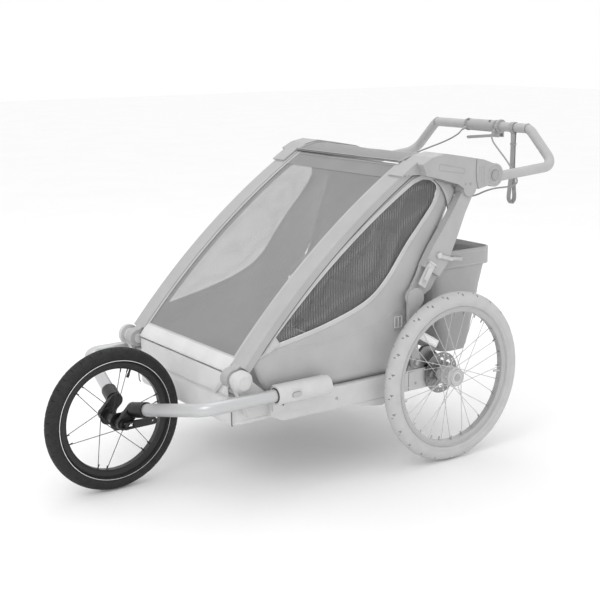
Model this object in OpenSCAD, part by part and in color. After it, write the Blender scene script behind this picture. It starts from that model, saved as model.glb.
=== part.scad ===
// Child bicycle trailer with a fabric cabin, a folding handlebar and a clip-on front wheel.
// Forward is -X, the trailer's left is -Y and up is +Z, in millimetres. Places along X are
// measured from the rear axle, and at_axle() then centres the whole model over its origin.
// Side parts are drawn for the left: slab(a, b) fills from a to b outwards from the middle.

/* [Wheels] */
// Distance from the rear axle to the front axle
wheelbase = 903; // [860:1:1100]
// Outer radius of the front tyre
front_wheel_r = 200; // [165:1:220]
// Width of the front tyre
front_tyre_w = 43; // [36:0.5:52]
// Inner radius of the front rim
front_rim_r = 142; // [110:1:150]
// Outer radius of the rear tyre
rear_wheel_r = 250; // [210:1:300]
// Width of the rear tyre
rear_tyre_w = 47; // [38:0.5:56]
// Inner radius of the rear rim
rear_rim_r = 192; // [150:1:200]
// Distance between the middle planes of the rear wheels
track = 748; // [740:1:900]
// Number of spokes in a rear wheel
rear_spokes = 28; // [16:4:36]
// Number of spoke pairs in the front wheel
front_spoke_pairs = 6; // [4:1:8]
// Radius of a brake rotor
rotor_r = 61; // [50:1:64]

/* [Cabin] */
// Distance from the rear axle forward to the front folding joint
joint_reach = 687; // [640:1:760]
// Height of the front folding joint
joint_h = 341; // [320:1:380]
// Distance from the rear axle forward to the top end of the side arch
arch_top_reach = 98; // [60:1:140]
// Height of the top end of the side arch
arch_top_h = 864; // [820:1:1000]
// Radius of the side arch's curve
arch_r = 2300; // [1400:10:3000]
// Width of a side arch
arch_w = 62; // [40:1:64]
// Depth of a side arch
arch_depth = 22; // [16:1:30]
// Inner half-width between the side arches
cabin_half_w = 243; // [230:1:300]
// Height of the footwell's floor above the ground
floor_h = 201; // [170:1:215]
// Height of the seat's top
seat_h = 322; // [300:1:335]
// Thickness of the fabric panels
fabric_t = 3; // [2:0.5:5]

/* [Frame] */
// Height of a side beam
beam_h = 61; // [45:1:70]
// Width of a side beam
beam_w = 34; // [24:1:36]
// Outer radius of the cross tubes
cross_tube_r = 14; // [10:0.5:16]
// Wall of the metal tubes
tube_wall = 2; // [1.5:0.1:3]
// Width of a rear post across the trailer
post_w = 25; // [20:0.5:30]
// Thickness of a lower strut
strut_t = 12; // [8:0.5:14]

/* [Handlebar] */
// Outer radius of the handlebar tube
handle_tube_r = 15; // [12:0.5:17]
// Distance from the rear axle back to the crossbar's middle line
handle_reach = 455; // [420:1:560]
// Height of the crossbar's middle line
handle_h = 931; // [900:1:1100]
// Distance from the rear axle back to the handlebar's pivot
handle_pivot_reach = 182; // [170:1:210]
// Height of the handlebar's pivot
handle_pivot_h = 818; // [800:1:840]
// Length of the brake lever
brake_lever_len = 128; // [100:1:140]

/* [Front wheel kit] */
// Outer radius of a fork arm's tube
fork_tube_r = 17.5; // [14:0.5:18]
// Height of the fork arms where they leave the trailer
fork_h = 295; // [285:1:305]
// Length of a receiver
receiver_len = 170; // [120:1:200]
// Length of the quick-release lever
lever_len = 92; // [70:1:110]

/* [Hidden] */
$fn = 48;
LEFT = -1;
RIGHT = 1;

// Gaps between pieces
seat_gap = 0.3;    // pieces that lie against each other
run_gap = 0.05;    // radial gap of a turning shaft
fit_gap = 0.1;     // radial gap of a fixed tube or pin in its hole
bend_lap = 0.5;    // how far a tube's straight leg reaches into a bend
bend_swell = 0.06; // how much thicker a bend's wall is, inside and outside

// Overall placing: the model's box reaches from the front tyre to the brake mount's clamp
mount_r = handle_tube_r + 4;
clamp_r = mount_r + 3;
rear_end = handle_reach + clamp_r;
rear_axle_x = (wheelbase + front_wheel_r - rear_end) / 2;
half_track = track / 2;

// Places across the trailer, as distances from the middle
arch_out = cabin_half_w + arch_w;
joint_eye_in = cabin_half_w + 7;
beam_out = arch_out + 13;
beam_in = beam_out - beam_w;
joint_eye_out = beam_in - 0.4;
nose_out = beam_in + 22;
panel_in = arch_out - 9;
panel_out = panel_in + fabric_t;
post_in = arch_out + 2;
post_out = post_in + post_w;
post_foot_out = post_in + 11.5;
strut_in = beam_out + 1;
strut_out = strut_in + strut_t;
rotor_in = beam_out + 8;
rotor_t = 2;
housing_in = cabin_half_w + 12;
housing_out = post_out + 8;
handle_y = arch_out - 5;
fork_y = beam_out + 4.5 + fork_tube_r;

// Side beam and front joint, as [x, z]
joint = [-joint_reach, joint_h];
joint_pin_r = 10;
joint_eye_r = 26;
nose_r = 20;
beam_bottom = 212;
beam_top = beam_bottom + beam_h;
beam_rear = 38;
beam_rise_x = -360;
beam_front_x = joint[0] + 87;
beam_front_top = beam_top + 17;
crossbar_at = [joint[0] + 19, joint_h - 41];

// Side arch: one arc from near the front joint to under the top housing
arch_foot = [joint[0] + 15, joint_h + 31];
arch_head = [-arch_top_reach, arch_top_h];
arch_chord = norm(arch_head - arch_foot);
arch_dir = (arch_head - arch_foot) / arch_chord;
arch_centre = (arch_head + arch_foot) / 2
    + [arch_dir[1], -arch_dir[0]] * sqrt(arch_r * arch_r - arch_chord * arch_chord / 4);
arch_a1 = atan2(arch_head[1] - arch_centre[1], arch_head[0] - arch_centre[0]);
arch_a2 = atan2(arch_foot[1] - arch_centre[1], arch_foot[0] - arch_centre[0]);
arch_in_r = arch_r - arch_depth;

// Rear frame, as [x, z]
axle = [0, rear_wheel_r];
post_top = [85, 787];
knee = [-104, 490];
strut_foot = [-100, beam_top + 24];
post_head_r = 25;
hinge_pin_r = 6;
foot_pin_r = 8;
handle_pivot = [handle_pivot_reach, handle_pivot_h];
handle_pin_r = 8;
handle_hub_r = 28;
handle_hub_half = handle_tube_r + 1;
housing_end_r = 32;
latch_top = [-52, 583];
latch_len = 72;
latch_w = 26;
latch_t = 6;
latch_gap = 0.6;
latch_pin_r = 2.5;
latch_eye_r = 4.5;
latch_y = post_out + latch_gap + latch_eye_r;
post_dir = (post_top - knee) / norm(post_top - knee);

// Rear hub, from the middle of the trailer outwards
hub_in = rotor_in + rotor_t;
hub_out = half_track + 22;
stub_r = 7;
hub_core_r = 15;
hub_flange_r = 29;
hub_flange_t = 4;
hub_cap_r = 25;
button_r = 9;
button_travel = 3;
stub_end = hub_out - 14;
stub_start = beam_out + 4;

// Front wheel
front_axle_at = [-wheelbase, front_wheel_r];
front_hub_half = 44;
front_flange_half = 30;
front_flange_r = 24;
front_axle_r = 5;
dropout_in = front_hub_half + 2;
dropout_out = dropout_in + 14;
dropout_r = 17;
skewer_y = dropout_out + 16;
skewer_pin_r = 3;
spoke_r = 1;
spoke_gap = 0.5;
spoke_stagger = 1.8;
bead_angle = 55;
tyre_wall = 3.5;

// Fork arms: straight out of the receiver, one bend, then in to the hub
fork_end_at = [front_axle_at[0] + 38, -(dropout_out + 18), front_axle_at[1] + 38];
fork_bend_at = [front_axle_at[0] + 91, -fork_y, fork_h];
fork_start_at = [joint[0] + 240, -fork_y, fork_h];
fork_bend_r = 48;
receiver_front = joint[0] + 88;
receiver_r = 26;
accessory_r = 3;
receiver_button_at = [receiver_front + 52, fork_h];

// Handlebar: arms from the pivots to the corners, and a raised crossbar
handle_corner_y = handle_y + 20;
handle_corner_h = handle_h - 105;
handle_bend_y = handle_corner_y - 107;
handle_bend_r = 42;
mount_left = -93;
mount_right = 62;
lever_pivot = [mount_left + 17, handle_h - 27];
lever_pin_r = 3;
strap_y = -148;
strap_w = 18;
strap_len = 240;
strap_eye_r = handle_tube_r + 2.6;

// Cables: radius, and the points each one passes, counted from the rear axle
cable_r = 2.5;
cable_left = [
    [432, -84, 920], [422, -86, 914], [413, -92, 902], [405, -108, 886], [397, -136, 868],
    [384, -172, 850], [368, -210, 832], [352, -250, 806], [336, -282, 783], [306, -293, 772],
    [272, -293, 771], [232, -291, 770], [196, -290, 765], [166, -290, 758], [142, -290, 755],
    [125, -290, 759], [119, -290, 769], [119, -290, 780]
];
cable_right = [
    [432, 52, 920], [422, 54, 914], [414, 62, 901], [409, 92, 884], [402, 134, 866],
    [386, 174, 849], [368, 212, 831], [352, 250, 806], [336, 282, 783], [306, 293, 772],
    [272, 293, 771], [232, 291, 770], [196, 290, 765], [166, 290, 758], [142, 290, 755],
    [125, 290, 759], [119, 290, 769], [119, 290, 780]
];
cable_stop_r = 4.5;
cable_socket_at = cable_left[len(cable_left) - 1];
cable_steps = 2;

// ---------- helpers ----------

module at_axle() { translate([rear_axle_x, 0, 0]) children(); }

// Left parts as drawn, right parts mirrored
module on_side(s) {
    at_axle()
        if (s == LEFT) children();
        else mirror([0, 1, 0]) children();
}

module both_sides() {
    on_side(LEFT) children();
    on_side(RIGHT) children();
}

// An [x, z] outline filled from a to b outwards on the left
module slab(a, b) { translate([0, -a, 0]) rotate([90, 0, 0]) linear_extrude(b - a) children(); }

// A disc or bore across the trailer at [x, z], from a to b outwards on the left
module disc(at, r, a, b) { slab(a, b) translate(at) circle(r); }

// A bar across the whole trailer
module bar(at, r, half) { disc(at, r, -half, half); }

// A ring sector about a line across the trailer, from a to b outwards on the left
module band(centre, a1, a2, r1, r2, a, b) {
    translate([centre[0], 0, centre[1]]) rotate([90, 0, 0]) rotate([0, 0, a1])
        rotate_extrude(angle = a2 - a1, $fn = 360) translate([r1, a]) square([r2 - r1, b - a]);
}

// Points along an arc, for outlines
function arc(c, r, a1, a2, n) = [for (i = [0:n]) let (a = a1 + (a2 - a1) * i / n) c + r * [cos(a), sin(a)]];

function unit(v) = v / norm(v);

// Places children with their axes along u, v and w
module along(origin, u, v, w) {
    multmatrix([
        [u[0], v[0], w[0], origin[0]], [u[1], v[1], w[1], origin[1]],
        [u[2], v[2], w[2], origin[2]], [0, 0, 0, 1]
    ]) children();
}

// A cylinder from p to q, hollow where wall is given
module rod(p, q, r, wall = 0) {
    d = unit(q - p);
    side = abs(d[2]) > 0.9 ? [1, 0, 0] : [0, 0, 1];
    u = unit(cross(side, d));
    along(p, u, cross(d, u), d) difference() {
        cylinder(h = norm(q - p), r = r);
        if (wall > 0) translate([0, 0, -1]) cylinder(h = norm(q - p) + 2, r = r - wall);
    }
}

// How far a bend of radius br reaches along its legs at point i
function bend_reach(pts, i, br) = (i == 0 || i == len(pts) - 1) ? 0
    : br * tan(turn_at(pts, i) / 2);
function turn_at(pts, i) = acos(unit(pts[i] - pts[i - 1]) * unit(pts[i + 1] - pts[i]));

// A tube along straight legs joined by bends of radius br. A bend's wall is a little thicker than
// the legs', which reach a little way into it.
module bent_tube(pts, r, wall, br) {
    for (i = [0:len(pts) - 2]) {
        d = unit(pts[i + 1] - pts[i]);
        from = pts[i] + d * (i == 0 ? 0 : bend_reach(pts, i, br) - bend_lap);
        to = pts[i + 1] - d * (i == len(pts) - 2 ? 0 : bend_reach(pts, i + 1, br) - bend_lap);
        rod(from, to, r, wall);
    }
    for (i = [1:len(pts) - 2]) {
        d = unit(pts[i] - pts[i - 1]);
        e = unit(pts[i + 1] - pts[i]);
        n = unit(e - d * (e * d));
        along(pts[i] - d * bend_reach(pts, i, br) + n * br, -n, d, cross(-n, d))
            rotate_extrude(angle = turn_at(pts, i), $fn = 96) translate([br, 0]) difference() {
                circle(r + bend_swell);
                circle(r - wall - bend_swell);
            }
    }
}

// Smooth points through a list, with n steps between two points
function spline(p, n) = [
    for (i = [0:len(p) - 2]) for (k = [0:n - 1]) spline_at(p, i, k / n),
    p[len(p) - 1]
];
function spline_at(p, i, t) =
    let (a = p[max(i - 1, 0)], b = p[i], c = p[i + 1], d = p[min(i + 2, len(p) - 1)])
    0.5 * (2 * b + (c - a) * t + (2 * a - 5 * b + 4 * c - d) * t * t + (3 * b - a - 3 * c + d) * t * t * t);

// A tube with flat ends swept along points
module sweep(path, r, sides) {
    last = len(path) - 1;
    rings = [for (i = [0:last])
        let (
            d = unit(path[min(i + 1, last)] - path[max(i - 1, 0)]),
            u = unit(cross(d, [1, 0.2, 0.1])),
            v = cross(d, u)
        )
        [for (k = [0:sides - 1]) path[i] + r * (cos(360 * k / sides) * u + sin(360 * k / sides) * v)]
    ];
    polyhedron(
        points = [for (ring = rings) each ring],
        faces = concat(
            [[for (k = [0:sides - 1]) k]],
            [for (i = [0:last - 1]) for (k = [0:sides - 1])
                let (a = i * sides, b = a + sides, next = (k + 1) % sides)
                [a + k, b + k, b + next, a + next]],
            [[for (k = [sides - 1:-1:0]) last * sides + k]]
        ),
        convexity = 6
    );
}

// ---------- lower frame ----------

function beam_outline() = [
    [beam_rear, beam_bottom], [beam_rear, beam_top], [beam_rise_x, beam_top],
    [beam_front_x, beam_front_top], [beam_front_x, beam_bottom + 20], [beam_front_x + 40, beam_bottom]
];

module side_beam(s) {
    color("lightgrey") on_side(s) difference() {
        union() {
            slab(beam_in, beam_out) polygon(beam_outline());
            slab(beam_in, nose_out) hull() {
                translate(joint) circle(nose_r);
                translate([beam_front_x - 60, beam_bottom + 24])
                    square([60.5, beam_front_top - beam_bottom - 24]);
            }
            slab(beam_in, beam_out) translate(axle) circle(beam_h / 2 + 4);
        }
        disc(joint, joint_pin_r + fit_gap, beam_in - 1, nose_out + 1);
        disc(axle, cross_tube_r + fit_gap, beam_in - 1, beam_out + 1);
    }
}

module front_crossbar() {
    color("silver") at_axle() difference() {
        bar(crossbar_at, cross_tube_r, beam_in);
        bar(crossbar_at, cross_tube_r - tube_wall, beam_in + 1);
    }
}

// The rear axle: a tube between the beams with a stub at each end for a wheel
module axle_tube() {
    color("silver") at_axle() {
        difference() {
            bar(axle, cross_tube_r, stub_start);
            bar(axle, cross_tube_r - tube_wall, beam_in);
        }
        for (s = [LEFT, RIGHT]) mirror([0, s == LEFT ? 0 : 1, 0]) disc(axle, stub_r, beam_in, stub_end);
    }
}

// The pin of the front folding joint with its round outer cap
module front_pivot(s) {
    color("gainsboro") on_side(s) {
        disc(joint, joint_pin_r, joint_eye_in - 4, nose_out + seat_gap);
        disc(joint, joint_pin_r + 4, joint_eye_in - 4, joint_eye_in - seat_gap);
        translate([joint[0], -nose_out - seat_gap, joint[1]]) rotate([90, 0, 0]) {
            cylinder(h = 14, r = 30);
            translate([0, 0, 14]) cylinder(h = 10, r1 = 30, r2 = 19);
        }
    }
}

// Socket on the beam that takes a fork arm, on a plate with an accessory hole
receiver_rear = receiver_front + receiver_len;
receiver_plate_t = 6;
receiver_pad = 12;      // height of the raised pad round the button
receiver_plug = 16;     // closed rear end of the socket

module receiver_plate_outline() {
    tail = receiver_rear + 40;
    polygon([
        [receiver_front + 4, 245], [receiver_front + 130, 232], [tail, beam_top - 14], [tail, beam_top],
        [receiver_rear, fork_h + 22], [receiver_front + 4, fork_h + 22]
    ]);
}

// A rod along the fork arm's straight leg, between two places along the trailer
module receiver_rod(from, to, r) { rod([from, -fork_y, fork_h], [to, -fork_y, fork_h], r); }

module arm_receiver(s) {
    color("gainsboro") on_side(s) difference() {
        union() {
            intersection() {
                receiver_rod(receiver_front, receiver_rear, receiver_r);
                translate([receiver_front, -fork_y - receiver_r, 0])
                    cube([receiver_len, fork_y + receiver_r - beam_out, fork_h + receiver_r]);
            }
            slab(beam_out, beam_out + receiver_plate_t) receiver_plate_outline();
            slab(fork_y + receiver_r - receiver_pad, fork_y + receiver_r - 1) receiver_button_outline(6);
        }
        receiver_rod(receiver_front - 1, receiver_rear - receiver_plug, fork_tube_r + fit_gap);
        slab(fork_y, fork_y + receiver_r + 5) receiver_button_outline(0.3);
        disc([receiver_front + 36, 259], accessory_r, beam_out - 1, beam_out + receiver_plate_t + 1);
    }
}

module receiver_button_outline(grow) {
    translate(receiver_button_at) {
        square([16 + 2 * grow, 14 + 2 * grow], center = true);
        for (x = [-8, 8]) translate([x, 0]) circle(7 + grow);
    }
}

module receiver_button(s) {
    color("silver") on_side(s)
        slab(fork_y + fork_tube_r + button_travel + 1, fork_y + receiver_r + 2.5) receiver_button_outline(0);
}

// Plates on the beams, whose pins carry the struts
bracket_t = 12;
strut_foot_r = 15;
foot_head_t = 3;

module axle_brackets() {
    color("dimgrey") both_sides() {
        slab(beam_out - bracket_t, beam_out) {
            polygon([
                [strut_foot[0] - 26, beam_top + seat_gap], [strut_foot[0] - 16, strut_foot[1]],
                [strut_foot[0] + 10, strut_foot[1] + 13], [-62, beam_top + 62], [-18, beam_top + 62],
                [-14, beam_top + 17], [-30, beam_top + 11], [-40, beam_top + seat_gap]
            ]);
            translate(strut_foot) circle(strut_foot_r + 2);
        }
        disc(strut_foot, foot_pin_r, beam_out - bracket_t, strut_out + foot_head_t);
        disc(strut_foot, foot_pin_r + 4, strut_out + seat_gap, strut_out + foot_head_t);
    }
}

// Calipers straddling the rotors
module brake_calipers() {
    color("grey") both_sides() difference() {
        slab(beam_out, rotor_in + rotor_t + 9) translate(axle) rotate(128)
            translate([rotor_r - 19, -19]) square([30, 38]);
        disc(axle, rotor_r + 1.2, rotor_in - 1.2, rotor_in + rotor_t + 1.2);
    }
}

// ---------- cabin ----------

footwell_half = cabin_half_w + 18;
footwell_top = crossbar_at[1] - cross_tube_r - 4;
seat_front = joint[0] + 217;

footwell_front = joint[0] + 1;
footwell_rear = seat_front - seat_gap;

// Floor with its front and rear walls, bent from one sheet
function footwell_sheet() = [
    [footwell_front, joint_h + 4], [footwell_front + 2, floor_h + 14], [footwell_front + 12, floor_h],
    [footwell_rear, floor_h], [footwell_rear, footwell_top], [footwell_rear - fabric_t, footwell_top],
    [footwell_rear - fabric_t, floor_h + fabric_t], [footwell_front + 13, floor_h + fabric_t],
    [footwell_front + 2 + fabric_t, floor_h + 15], [footwell_front + fabric_t, joint_h + 4]
];

module footwell() {
    color("gainsboro") at_axle() {
        slab(-cabin_half_w, cabin_half_w) polygon(footwell_sheet());
        for (y = [-footwell_half, cabin_half_w])
            slab(y, y + footwell_half - cabin_half_w) polygon([
                [footwell_front + 1, footwell_top], [footwell_front + 2, floor_h + 14],
                [footwell_front + 12, floor_h], [footwell_rear, floor_h], [footwell_rear, footwell_top]
            ]);
    }
}

seat_rear = -165;
seat_t = 58;

module seat_cushion() {
    color("darkgrey") at_axle() slab(-beam_in + seat_gap, beam_in - seat_gap) polygon([
        [seat_front, seat_h - seat_t], [seat_front, seat_h - 10], [seat_front + 10, seat_h],
        [seat_rear, seat_h - 8], [seat_rear, seat_h - seat_t]
    ]);
}

roof_bar_at = [46, 856];
roof_bar_r = 12;
back_t = 24;
back_foot = [seat_rear + seat_gap, seat_h - 40];

module backrest() {
    color("darkgrey") at_axle() slab(-housing_in + seat_gap, housing_in - seat_gap) polygon([
        back_foot, back_foot + [0, 44], roof_bar_at + [-roof_bar_r - 12, -30],
        roof_bar_at + [-roof_bar_r - seat_gap, 0], roof_bar_at + [-roof_bar_r - seat_gap, -14],
        roof_bar_at + [-roof_bar_r - 12 + back_t, -40], back_foot + [back_t + 4, 44],
        back_foot + [back_t, 0]
    ]);
}

// Outline of the roof from front to rear, lowered by drop
function roof_line(drop) = [
    for (p = [[-104, 867], [-66, 880], [-15, 886], [58, 876], [137, 860], [160, 852]]) p - [0, drop]
];

module roof_crossbar() {
    color("silver") at_axle() difference() {
        bar(roof_bar_at, roof_bar_r, housing_in);
        bar(roof_bar_at, roof_bar_r - tube_wall, housing_in + 1);
    }
}

module roof_cover() {
    top = roof_line(0);
    under = roof_line(fabric_t);
    color("darkgrey") at_axle() slab(-housing_in + seat_gap, housing_in - seat_gap)
        polygon(concat(top, [for (i = [len(under) - 1:-1:0]) under[i]]));
}

module side_arch(s) {
    color("silver") on_side(s) difference() {
        union() {
            band(arch_centre, arch_a1, arch_a2, arch_in_r, arch_r, cabin_half_w, arch_out);
            slab(joint_eye_in, joint_eye_out) {
                translate(joint) circle(joint_eye_r);
                polygon([
                    joint + joint_eye_r * [cos(60), sin(60)] + [-26, -6], arch_foot + [4, 4],
                    arch_foot + arch_depth * [0.77, -0.64] + [4, 4],
                    joint + joint_eye_r * [cos(-8), sin(-8)]
                ]);
            }
        }
        disc(joint, joint_pin_r + run_gap, joint_eye_in - 1, arch_out + 1);
    }
}

module front_cover() {
    outer_r = arch_r - 2;
    half = cabin_half_w - seat_gap;
    color("grey") at_axle()
        band(arch_centre, arch_a1 + 0.1, arch_a2 + 0.62, outer_r - fabric_t, outer_r, -half, half);
}

arch_head_in = arch_head + arch_depth * unit(arch_centre - arch_head);
housing_under = [[-83, 834], [-36, 823], [41, 801], [58, 790]];

module side_panel(s) {
    color("silver") on_side(s) slab(panel_in, panel_out) polygon(concat(
        arc(arch_centre, arch_in_r - seat_gap, arch_a2 - 0.5, arch_a1 + 0.5, 16),
        [for (p = housing_under) p - [0, seat_gap]],
        [
            [54, 775], [16, 700], [-36, 620], [-86, 520], [-112, 450], [-104, 380],
            [-72, 300], [-60, beam_top + seat_gap], [beam_rise_x, beam_top + seat_gap],
            [beam_front_x + 6, beam_front_top + seat_gap], [beam_front_x - 20, beam_front_top + 34]
        ]
    ));
}

// ---------- upper frame ----------

module housing_outline() {
    polygon(concat(
        [for (i = [len(housing_under) - 1:-1:0]) housing_under[i]],
        [
            arch_head_in + seat_gap * arch_dir, arch_head + seat_gap * arch_dir + [0.5, 2],
            [-60, 884], [-15, 892], [58, 880], [137, 866], [178, 852],
            handle_pivot, [165, 791], [118, 782]
        ]
    ));
    translate(post_top) circle(post_head_r - 1);
    translate(handle_pivot) circle(housing_end_r + 2);
}

module top_housing(s) {
    color("darkgrey") on_side(s) {
        difference() {
            union() {
                slab(housing_in, housing_out) housing_outline();
                slab(housing_in, arch_out + 10) polygon(concat(
                    arc(arch_centre, arch_r + seat_gap, arch_a1 - 0.15, arch_a1 + 1.5, 4),
                    arc(arch_centre, arch_r + 5, arch_a1 + 1.5, arch_a1 - 0.15, 4)
                ));
                slab(arch_out + seat_gap, arch_out + 10) polygon([
                    [-80, 872], [-80, 836], [-112, 836], [-136, 834], [-140, 842]
                ]);
            }
            // room for the rear post's head, which swings inside the shell
            slab(post_in - 1.5, post_out + 1) {
                translate(post_top) circle(post_head_r + 4);
                polygon([
                    post_top + [24, -17], post_top + [-4, 29], [20, 832], [-60, 812], [-60, 780],
                    [60, 740], [110, 740]
                ]);
            }
            // slot for the handlebar's hub
            slab(handle_y - handle_hub_half - 0.5, handle_y + handle_hub_half + 4) {
                translate(handle_pivot) circle(handle_hub_r + 1.5);
                translate(handle_pivot + [0, -60]) square([60, 120]);
                translate(handle_pivot + [-34, -60]) square([60, 46]);
            }
            // recess for the push button
            disc(handle_pivot, 14.3, housing_out - 9, housing_out + 1);
        }
        rod(cable_socket_at + [0, 0, seat_gap], cable_socket_at + [0, 0, 12], cable_stop_r);
        disc(post_top, hinge_pin_r, post_in - 4, housing_out - 1);
        disc(handle_pivot, handle_pin_r, handle_y - handle_hub_half - 4, handle_y + handle_hub_half + 6);
    }
}

module handlebar_button(s) {
    color("grey") on_side(s) disc(handle_pivot, 14, housing_out - 9 + button_travel + 0.6, housing_out + 3);
}

function post_outline() = [
    [61, 777], [17, 711], [-46, 630], [-80, 577], [-20, 540], [10, 575], [47, 650], [75, 715], [109, 777]
];

module rear_post(s) {
    color("silver") on_side(s) difference() {
        union() {
            slab(post_in, post_out) {
                polygon(post_outline());
                translate(post_top) circle(post_head_r);
            }
            slab(post_in, post_foot_out) {
                translate(knee) circle(24);
                polygon([knee + [-24, 0], [-91, 549], [-72, 590], [-8, 553], [-40, 505], knee + [22, -8]]);
            }
            disc([-25, 603], 9, post_out, post_out + 7);
            // ears and pin that carry the latch
            latch_frame() {
                ear_h = 2 * latch_eye_r + latch_gap + 1;
                for (x = [-latch_w / 2 - 5, latch_w / 2 + seat_gap])
                    translate([x, -latch_eye_r, latch_eye_r - ear_h])
                        cube([5 - seat_gap, 2 * latch_eye_r, ear_h]);
                pin(latch_w / 2 + 2, latch_pin_r);
            }
        }
        disc(post_top, hinge_pin_r + run_gap, post_in - 1, post_out + 1);
    }
}

// A round bar along X, half its length either way
module pin(half, r) { translate([-half, 0, 0]) rotate([0, 90, 0]) cylinder(h = 2 * half, r = r); }

// The latch's own frame: X along its pin, Y up along the post, Z outwards
module latch_frame() {
    along([latch_top[0], -latch_y, latch_top[1]], [post_dir[1], 0, -post_dir[0]],
        [post_dir[0], 0, post_dir[1]], [0, -1, 0]) children();
}

module fold_latch(s) {
    color("gainsboro") on_side(s) latch_frame() difference() {
        union() {
            pin(latch_w / 2, latch_eye_r);
            translate([-latch_w / 2, -latch_len, -latch_eye_r]) cube([latch_w, latch_len, latch_t]);
        }
        pin(latch_w / 2 + 1, latch_pin_r + run_gap);
    }
}

module lower_struts() {
    color("grey") both_sides() difference() {
        slab(strut_in, strut_out) {
            translate(knee + [-2, -2]) circle(30);
            polygon([
                knee + [-28, -14], [-131, 426], [-124, 360], strut_foot + [-15, 4], strut_foot + [15, 4],
                [-99, 360], [-106, 426], knee + [14, -24]
            ]);
            translate(strut_foot) circle(strut_foot_r);
        }
        disc(strut_foot, foot_pin_r + run_gap, strut_in - 1, strut_out + 1);
        disc(strut_foot, foot_pin_r + 4.4, strut_out + 5, strut_out + 9);
    }
}

// ---------- handlebar ----------

function handle_point(s, i) = [
    [handle_pivot[0], s * handle_y, handle_pivot[1] - 15],
    [handle_reach, s * handle_corner_y, handle_corner_h],
    [handle_reach, s * handle_bend_y, handle_h]
][i];

// Discs about both pivots, half their width to either side of the arms
module handle_hubs(r, half) {
    for (s = [LEFT, RIGHT]) mirror([0, s == LEFT ? 0 : 1, 0])
        disc(handle_pivot, r, handle_y - half, handle_y + half);
}

module handlebar() {
    color("silver") at_axle() difference() {
        union() {
            bent_tube([
                handle_point(LEFT, 0), handle_point(LEFT, 1), handle_point(LEFT, 2),
                handle_point(RIGHT, 2), handle_point(RIGHT, 1), handle_point(RIGHT, 0)
            ], handle_tube_r, tube_wall, handle_bend_r);
            handle_hubs(handle_hub_r, handle_hub_half);
        }
        handle_hubs(handle_pin_r + run_gap, handle_hub_half + 1);
    }
}

// A round bar along the crossbar, from one place across the trailer to another
module on_crossbar(from, to, r) { rod([handle_reach, from, handle_h], [handle_reach, to, handle_h], r); }

// How far a cable's stop reaches back from the cable's end into the sleeve
function stop_len(p) = norm([handle_reach - p[0], handle_h - p[2]]) - mount_r + 0.5;

// Sleeve clamped round the crossbar, with the ears that carry the brake lever
mount_clamp_w = 9;
ear_t = 3.5;
lever_w = 16;
ear_gap = 0.5;

module brake_lever_mount() {
    ear_in = lever_w / 2 + ear_gap;
    color("grey") at_axle() difference() {
        union() {
            on_crossbar(mount_left, mount_right, mount_r);
            on_crossbar(mount_left, mount_left + mount_clamp_w, clamp_r);
            for (x = [-ear_in - ear_t, ear_in])
                translate([handle_reach + x, mount_left, lever_pivot[1] - 7]) cube([ear_t, 25, 18]);
            at_lever() pin(ear_in + ear_t, lever_pin_r);
            for (route = [cable_left, cable_right])
                rod(route[0] + stop_len(route[0]) * unit(route[0] - route[1]), route[0], cable_stop_r);
        }
        on_crossbar(mount_left - 1, mount_right + 1, handle_tube_r + fit_gap);
    }
}

// The lever's pin, as the origin
module at_lever() { translate([handle_reach, lever_pivot[0], lever_pivot[1]]) children(); }

module brake_lever() {
    color("dimgrey") at_axle() at_lever() difference() {
        union() {
            pin(lever_w / 2, 6.5);
            translate([-lever_w / 2, 0, 0]) rotate([90, 0, 90]) linear_extrude(lever_w) polygon([
                [0, -6], [0, 3], [brake_lever_len, -10], [brake_lever_len + 6, -14], [brake_lever_len, -20]
            ]);
        }
        pin(lever_w / 2 + 1, lever_pin_r + run_gap);
    }
}

module brake_cable(route) { color("dimgrey") at_axle() sweep(spline(route, cable_steps), cable_r, 8); }

// A webbing loop that hangs from the crossbar on its own eye
module wrist_strap() {
    left = strap_y - strap_w / 2;
    run_t = 2;
    color("grey") at_axle() {
        difference() {
            on_crossbar(left, left + strap_w, strap_eye_r);
            on_crossbar(left - 1, left + strap_w + 1, handle_tube_r + seat_gap);
        }
        for (x = [-5, 5 - run_t])
            translate([handle_reach + x, left, handle_h - strap_len])
                cube([run_t, strap_w, strap_len - handle_tube_r - 1.4]);
        translate([handle_reach - 5, left, handle_h - strap_len - run_t]) cube([10, strap_w, run_t]);
    }
}

// ---------- cargo bag ----------

bag_half = 253;
bag_rim_h = 586;

module bag_outline(inset) {
    polygon([
        [62 + inset, 300 + inset], [84, 281 + inset], [160, 281 + inset], [200 - inset, 300 + inset],
        [262 - inset, bag_rim_h + inset * 20], [10 + inset, bag_rim_h + inset * 20]
    ]);
}

module cargo_bag() {
    color("darkgrey") at_axle() difference() {
        union() {
            slab(-bag_half, bag_half) bag_outline(0);
            slab(-post_in + seat_gap, post_in - seat_gap) translate([-10, bag_rim_h - 18]) square([22, 16]);
        }
        slab(-bag_half + fabric_t, bag_half - fabric_t) bag_outline(fabric_t);
        slab(-bag_half + fabric_t, bag_half - fabric_t) translate([14, bag_rim_h - 30]) square([240, 60]);
    }
}

// ---------- wheels ----------

// Turns an outline of [along the axle, from the axle] about an axle at [x, z]
module spin(at) { translate([at[0], 0, at[1]]) rotate([90, 0, 0]) rotate_extrude($fn = 96) children(); }

function bead_half(w) = w / 2 * cos(bead_angle);
function bead_r(r, w) = r - w / 2 - w / 2 * sin(bead_angle);

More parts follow.
